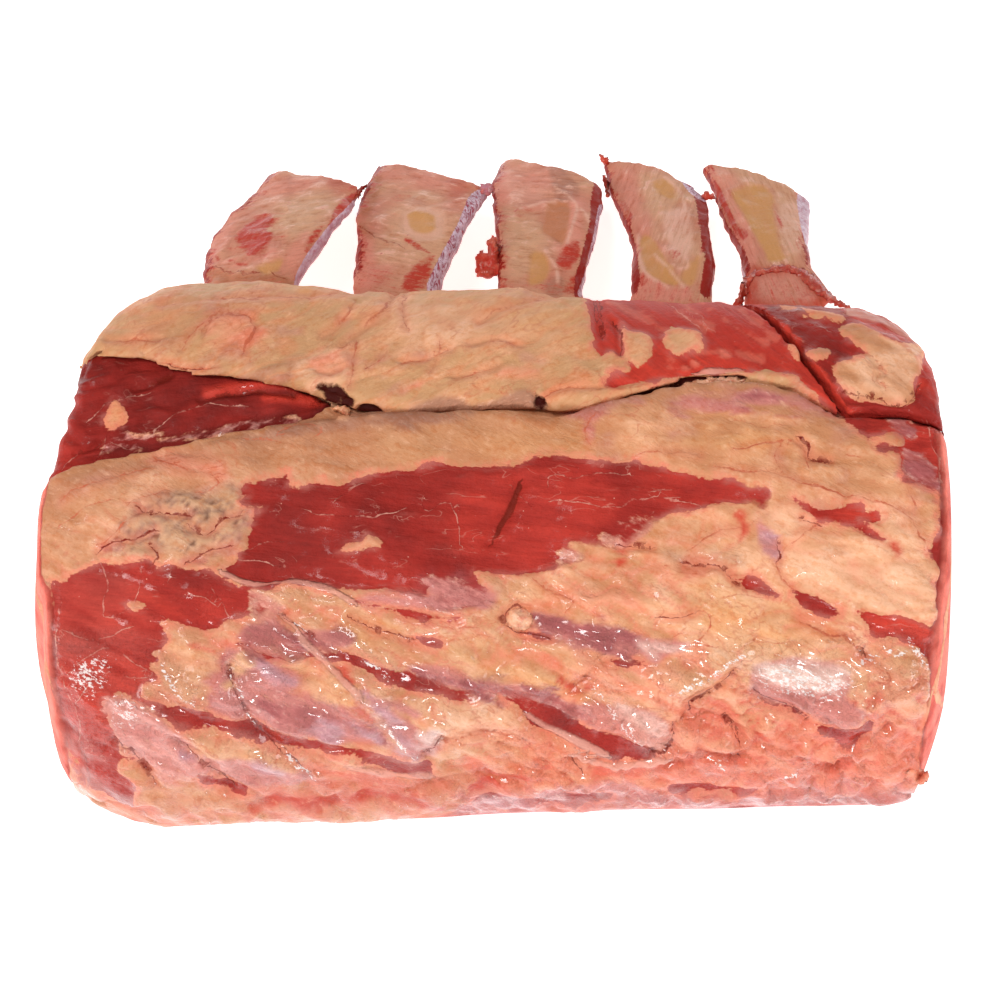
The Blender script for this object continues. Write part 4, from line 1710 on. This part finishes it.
def bone_finish(name):
    """Scraped bone: rose to cream, scratched, with blood and frosty membrane."""
    f = Finish(name)
    cover, run, marrow = f.vector("cover"), f.vector("run"), f.value("marrow")
    blood, dark, cloudy = f.value("blood"), f.value("dark"), f.value("cloudy")
    crimson, frost = f.value("crimson"), f.value("frost")
    fine = f.cloud(1.6, 4.0, 0.6)
    grainy = f.cloud(0.6, 2.0, 0.6)
    comb = f.cloud(1.3, 4.0, 0.62, f.stretched(run, (1.0, 0.16, 1.0)))
    scrape = f.line("crack", cloudy * 3.0 + fine, 0.22)

    bare = 1.0 - marrow * 0.8
    pale = (comb * 1.5 + fine + cloudy - blood * 0.5).ease(0.02, 0.45)
    bone = f.mix(cover, BONE_PALE, pale * bare * 0.75)
    rich = f.stretched(cover, (0.90, 0.68, 0.56))
    bone = f.mix(bone, rich, (comb * -1.6 + fine * 0.6).ease(0.0, 0.45) * bare)
    seep = (blood + comb * 1.7 + fine * 0.8 - 0.42).ease(-0.15, 0.55)
    bone = f.mix(bone, BONE_BLOOD, seep * (bare + 0.1) * 0.85)
    bone = f.mix(bone, BONE_DARK, (dark + fine * 1.4 + comb - 0.3).ease(0.0, 0.35) * 0.95)
    bone = f.scaled(bone, 1.0 + comb * 0.45 * bare + grainy * 0.22)
    # The flanks: crimson membrane netted with white, or plain frosty white.
    strands = f.cloud(2.2, 4.0, 0.7, f.stretched(f.place, (1.0, 0.4, 1.0)), 0.8)
    net = abs(strands).ease(0.0, 0.13, 1.0, 0.0)
    netted = f.mix(CRIMSON, FROST, net * (fine + 0.75))
    bone = f.mix(bone, netted, (crimson + fine * 0.8).ease(0.35, 0.65))
    milky = f.mix(FROST_PINK, MILK, strands * 2.4 + fine + 0.4)
    frosted = (frost * 1.3 + fine * 0.8 + strands * 0.6).ease(0.5, 0.85)
    bone = f.mix(bone, milky, frosted * frost.ease(0.02, 0.2))
    bone = f.mix(bone, BONE_DARK, scrape * (fine * 2.0 + 0.4))
    f.connect(bone, "Base Color")

    shine = (frost * 0.5 + blood * 0.4 + cloudy * 1.2 + 0.2).ease(0.1, 0.9)
    f.connect(0.52 - shine * 0.16 + grainy * 0.2, "Roughness")
    f.connect(shine * 0.3, "Coat Weight")
    set_sockets(f.shader, {"Coat Roughness": 0.16, "Specular IOR Level": 0.04})
    pits = f.cells(0.9, "F1") * marrow * 0.15
    relief = comb * bare * 0.5 + fine * 0.3 + grainy * 0.05 + net * crimson * 0.3
    f.bump(relief + pits + frost * strands * 0.8 - scrape * 0.2 - marrow * 0.2)
    return f.material


scraped_bone = bone_finish("scraped rib bone")
for number, (outline, degrees) in enumerate(zip(RIB_OUTLINES, RIB_TILTS), 1):
    rib = fine_copy(f"rib_{number}", f"rib_{number}_bone", RIB_VOXEL)
    skin = Canvas(rib)
    fit_outline(skin, *outline)
    tilt = math.radians(degrees)
    skin.grow(tilt, tilt, float(number))
    skin.lay_grain(0.0)
    skin.rough = BRUSH_RAGGED
    upward = ease(skin.normal[:, 2], 0.0, 0.3)
    unseen = ease(skin.normal @ np.array(to_camera), 0.05, -0.15)
    sideways = ease(np.abs(skin.normal[:, 0]), 0.55, 0.85)
    skin.paint(BONE_ROSE, BONE_ROSE)
    skin.brush(skin.cover, BONE_CREAM, 0.35 + 2.5 * skin.broad + skin.cloudy)
    skin.brush(skin.cover, BONE_PINK, ease(skin.cloudy - skin.broad, 0.05, 0.4) * 0.7)
    skin.dab(skin.cover, BONE_DABS)
    skin.dab(skin.cover, MARROW_DABS)
    skin.stroke(skin.cover, [(BONE_PALE, 0.7, 0.8, points) for points in RIDGES])
    skin.lay_paint()
    marrow = skin.patch([points for _, _, _, points in MARROW_DABS], 0.8) * upward
    blood = 0.12 + 0.25 * ease(skin.v, 262.0, 292.0) * upward
    for strength, soft, points in COMBED_BLOODS:
        blood = np.maximum(blood, strength * skin.patch([points], soft))
    sides = outline[::2]
    uneven = skin.cloudy + skin.broad
    edge_blood = skin.ridge(sides, 8.0) * ease(uneven + 0.5 * skin.strand, -0.25, 0.1)
    blood = np.maximum(blood, 0.8 * edge_blood)
    edge_line = skin.ridge(sides, 4.5) * ease(uneven, -0.3, 0.1)
    skin.lay("marrow", marrow)
    skin.lay("blood", blood)
    skin.lay("dark", np.maximum(skin.patch(DARK_BANDS, 1.0) * 0.9, 0.75 * edge_line))
    skin.lay("crimson", skin.patch(CRIMSON_FLANKS, 0.9) + sideways * unseen * 0.5)
    skin.lay("frost", skin.patch(FROST_FLANKS, 0.7) + sideways * unseen * 0.35)
    skin.lay_line("crack", *BONE_SCRATCHES)
    ridges = 0.7 * skin.ridge(RIDGES, 2.4) + 0.5 * skin.ridge(BONE_SCRATCHES, 2.0)
    skin.push(1.6 * skin.cloudy + 0.8 * skin.strand + ridges * upward - 0.4 * marrow)
    rib.data.materials.append(scraped_bone)
    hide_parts(f"rib_{number}")
    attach(rib, "root")

# ---------------------------------------------------------------- tags
# Ragged scraps of tissue that the trimming left, grown fast to what they touch: on
# the bones a tag of meat, a knob, a torn collar and shreds that tie the tips; on
# the meat a knob of fat, two lips of the seam and a loose corner.
RAW_TISSUE = colour(0.50, 0.055, 0.038)
TAGS = [
    ("meat_tag", "rib_3_bone", (503,258), 1.6, SCARLET,
     [(489,235), (496,234), (500,250), (500,274), (487,281), (476,276), (474,256),
      (481,250), (487,252)]),
    ("bone_knob", "rib_4_bone", (608,166), 1.6, BLOOD,
     [(598,157), (602,153), (607,155), (612,160), (609,166), (602,164)]),
    ("shred_34", "rib_4_bone", (614,190), 1.0, BONE_DARK,
     [(601,177), (606,174), (611,186), (609,198), (604,191)]),
    ("shred_23", "rib_2_bone", (474,186), 1.0, FROST_PINK,
     [(478,182), (486,182), (493,184), (493,192), (487,198), (480,194)]),
    ("shred_12", "rib_2_bone", (368,190), 1.0, BONE_DARK,
     [(358,186), (364,183), (368,186), (363,194), (358,202), (357,194)]),
    ("shred_45", "rib_5_bone", (722,200), 1.0, BLOOD,
     [(700,194), (708,190), (716,196), (710,202), (702,200)]),
    ("torn_collar", "rib_5_bone", (770,272), 1.7, RAW_TISSUE,
     [(741,282), (747,273), (760,268), (776,265), (795,264), (810,271), (823,282),
      (838,297), (853,309), (838,309), (820,299), (806,286), (793,276), (776,274),
      (758,278), (752,286), (747,297), (740,307), (731,305), (737,292)]),
    ("fat_knob", "loin_meat", (518,620), 2.2, WHITE_FAT,
     [(504,617), (510,608), (522,607), (532,612), (534,622), (526,632), (514,632),
      (506,626)]),
    ("fat_tab", "loin_meat", (912,776), 1.8, PINK_FAT,
     [(904,770), (914,767), (924,768), (931,776), (926,784), (914,786), (906,780)]),
    ("seam_lip", "cap_flap_meat", (712,376), 1.4, WHITE_FAT,
     [(680,387), (690,381), (706,377), (724,375), (742,378), (748,383), (730,386),
      (712,388), (696,393), (684,394)]),
    ("seam_shred", "cap_flap_meat", (352,400), 1.4, CREAM_FAT,
     [(331,409), (338,404), (346,405), (353,410), (351,417), (342,415)]),
]
# In millimetres, but the margin in photo pixels and the grain's turn in radians.
TAG_STEP = 0.8
TAG_SLACK = 0.35
DRAPE = 14.0
TAG_MARGIN = 3.0
TAG_GRAIN = 0.6


def through(u, v):
    """The direction in which the camera sees a point of the photograph."""
    right = Vector((1.0, 0.0, 0.0))
    up = Vector((0.0, math.sin(ELEVATION), math.cos(ELEVATION)))
    sideways, upwards = (u - PHOTO_MIDDLE) / FOCAL, (PHOTO_MIDDLE - v) / FOCAL
    return right * sideways + up * upwards - to_camera


def add_tag(name, carrier, touch, thick, outline):
    """A pillow with a traced outline, laid on its carrier and hanging off its edge."""
    tree = BVHTree.FromObject(carrier, bpy.context.evaluated_depsgraph_get())
    hit, _, _, _ = tree.ray_cast(camera.location, through(*touch).normalized())
    mesh = bpy.data.meshes.new(name)
    obj = add_object(name, mesh)
    curve = rounded(outline, True)
    low, size = curve.min(0) - TAG_MARGIN, np.ptp(curve, 0) + 2 * TAG_MARGIN
    across, down = (int(n) for n in np.ceil(size / (TAG_STEP * PIXELS_PER_MM)))
    bm = bmesh.new()
    bmesh.ops.create_grid(bm, x_segments=across, y_segments=down, size=1.0)
    reach = max(abs(vert.co.x) for vert in bm.verts)
    for vert in bm.verts:
        u = low[0] + size[0] * (vert.co.x / reach + 1.0) / 2
        v = low[1] + size[1] * (1.0 - vert.co.y / reach) / 2
        sight = through(u, v)
        far = (hit - camera.location).dot(to_camera) / sight.dot(to_camera)
        vert.co = camera.location + sight * far
        laid, _, _, _ = tree.ray_cast(camera.location, sight.normalized())
        if laid and abs((laid - hit).dot(to_camera)) < DRAPE * MM:
            vert.co = laid
    bm.to_mesh(mesh)
    depth = Canvas(obj).depth(outline)
    puff = bm.verts.layers.float.new("puff")
    outside = []
    for vert, inside in zip(bm.verts, depth.tolist()):
        vert[puff] = thick * math.sqrt(min(max(inside, 0.0) / thick, 1.0))
        if inside < -TAG_SLACK:
            outside.append(vert)
    bmesh.ops.delete(bm, geom=outside, context="VERTS")
    loose = [vert for vert in bm.verts if not vert.link_faces]
    bmesh.ops.delete(bm, geom=loose, context="VERTS")
    bmesh.ops.recalc_face_normals(bm, faces=bm.faces[:])
    if sum((f.normal for f in bm.faces), Vector()).dot(to_camera) < 0.0:
        bmesh.ops.reverse_faces(bm, faces=bm.faces[:])
    for edge in bm.edges:
        if edge.is_boundary:
            edge.verts[0][puff] = edge.verts[1][puff] = 0.0
    copied = bmesh.ops.duplicate(bm, geom=bm.verts[:] + bm.edges[:] + bm.faces[:])["geom"]
    hind_faces = [g for g in copied if isinstance(g, bmesh.types.BMFace)]
    hind_verts = {g for g in copied if isinstance(g, bmesh.types.BMVert)}
    bmesh.ops.reverse_faces(bm, faces=hind_faces)
    for vert in bm.verts:
        way = -1.0 if vert in hind_verts else 1.0
        vert.co += to_camera * (way * vert[puff] * MM)
    bmesh.ops.remove_doubles(bm, verts=bm.verts[:], dist=MERGE)
    for _ in range(SOFT_STEPS):
        soften(bm)
    bm.to_mesh(mesh)
    bm.free()
    mesh.shade_smooth()
    return obj


for count, (name, carrier, touch, thick, tone, outline) in enumerate(TAGS):
    tag = add_tag(name, bpy.data.objects[carrier], touch, thick, outline)
    skin = Canvas(tag)
    skin.grow(TAG_GRAIN, TAG_GRAIN, 11.0 + count)
    skin.lay_grain(0.0)
    frayed = skin.cloud(2.2, 4.0 + count)
    skin.paint(tone, tone)
    skin.brush(skin.cover, ROSE_FAT, 3.0 * frayed + skin.cloudy)
    skin.brush(skin.cover, BLOOD, ease(frayed + skin.strand, 0.1, 0.4) * 0.6)
    skin.brush(skin.cover, PALE_FILM, ease(-frayed, 0.1, 0.3) * 0.5)
    skin.lay_paint()
    skin.lay_all(wet=0.5, bloodshot=0.2)
    for line in ("thread", "cord", "crack", "vein"):
        skin.lay_line(line)
    skin.push(1.2 * skin.cloudy + 3.5 * frayed)
    tag.data.materials.append(beef)
    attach(tag, "root")
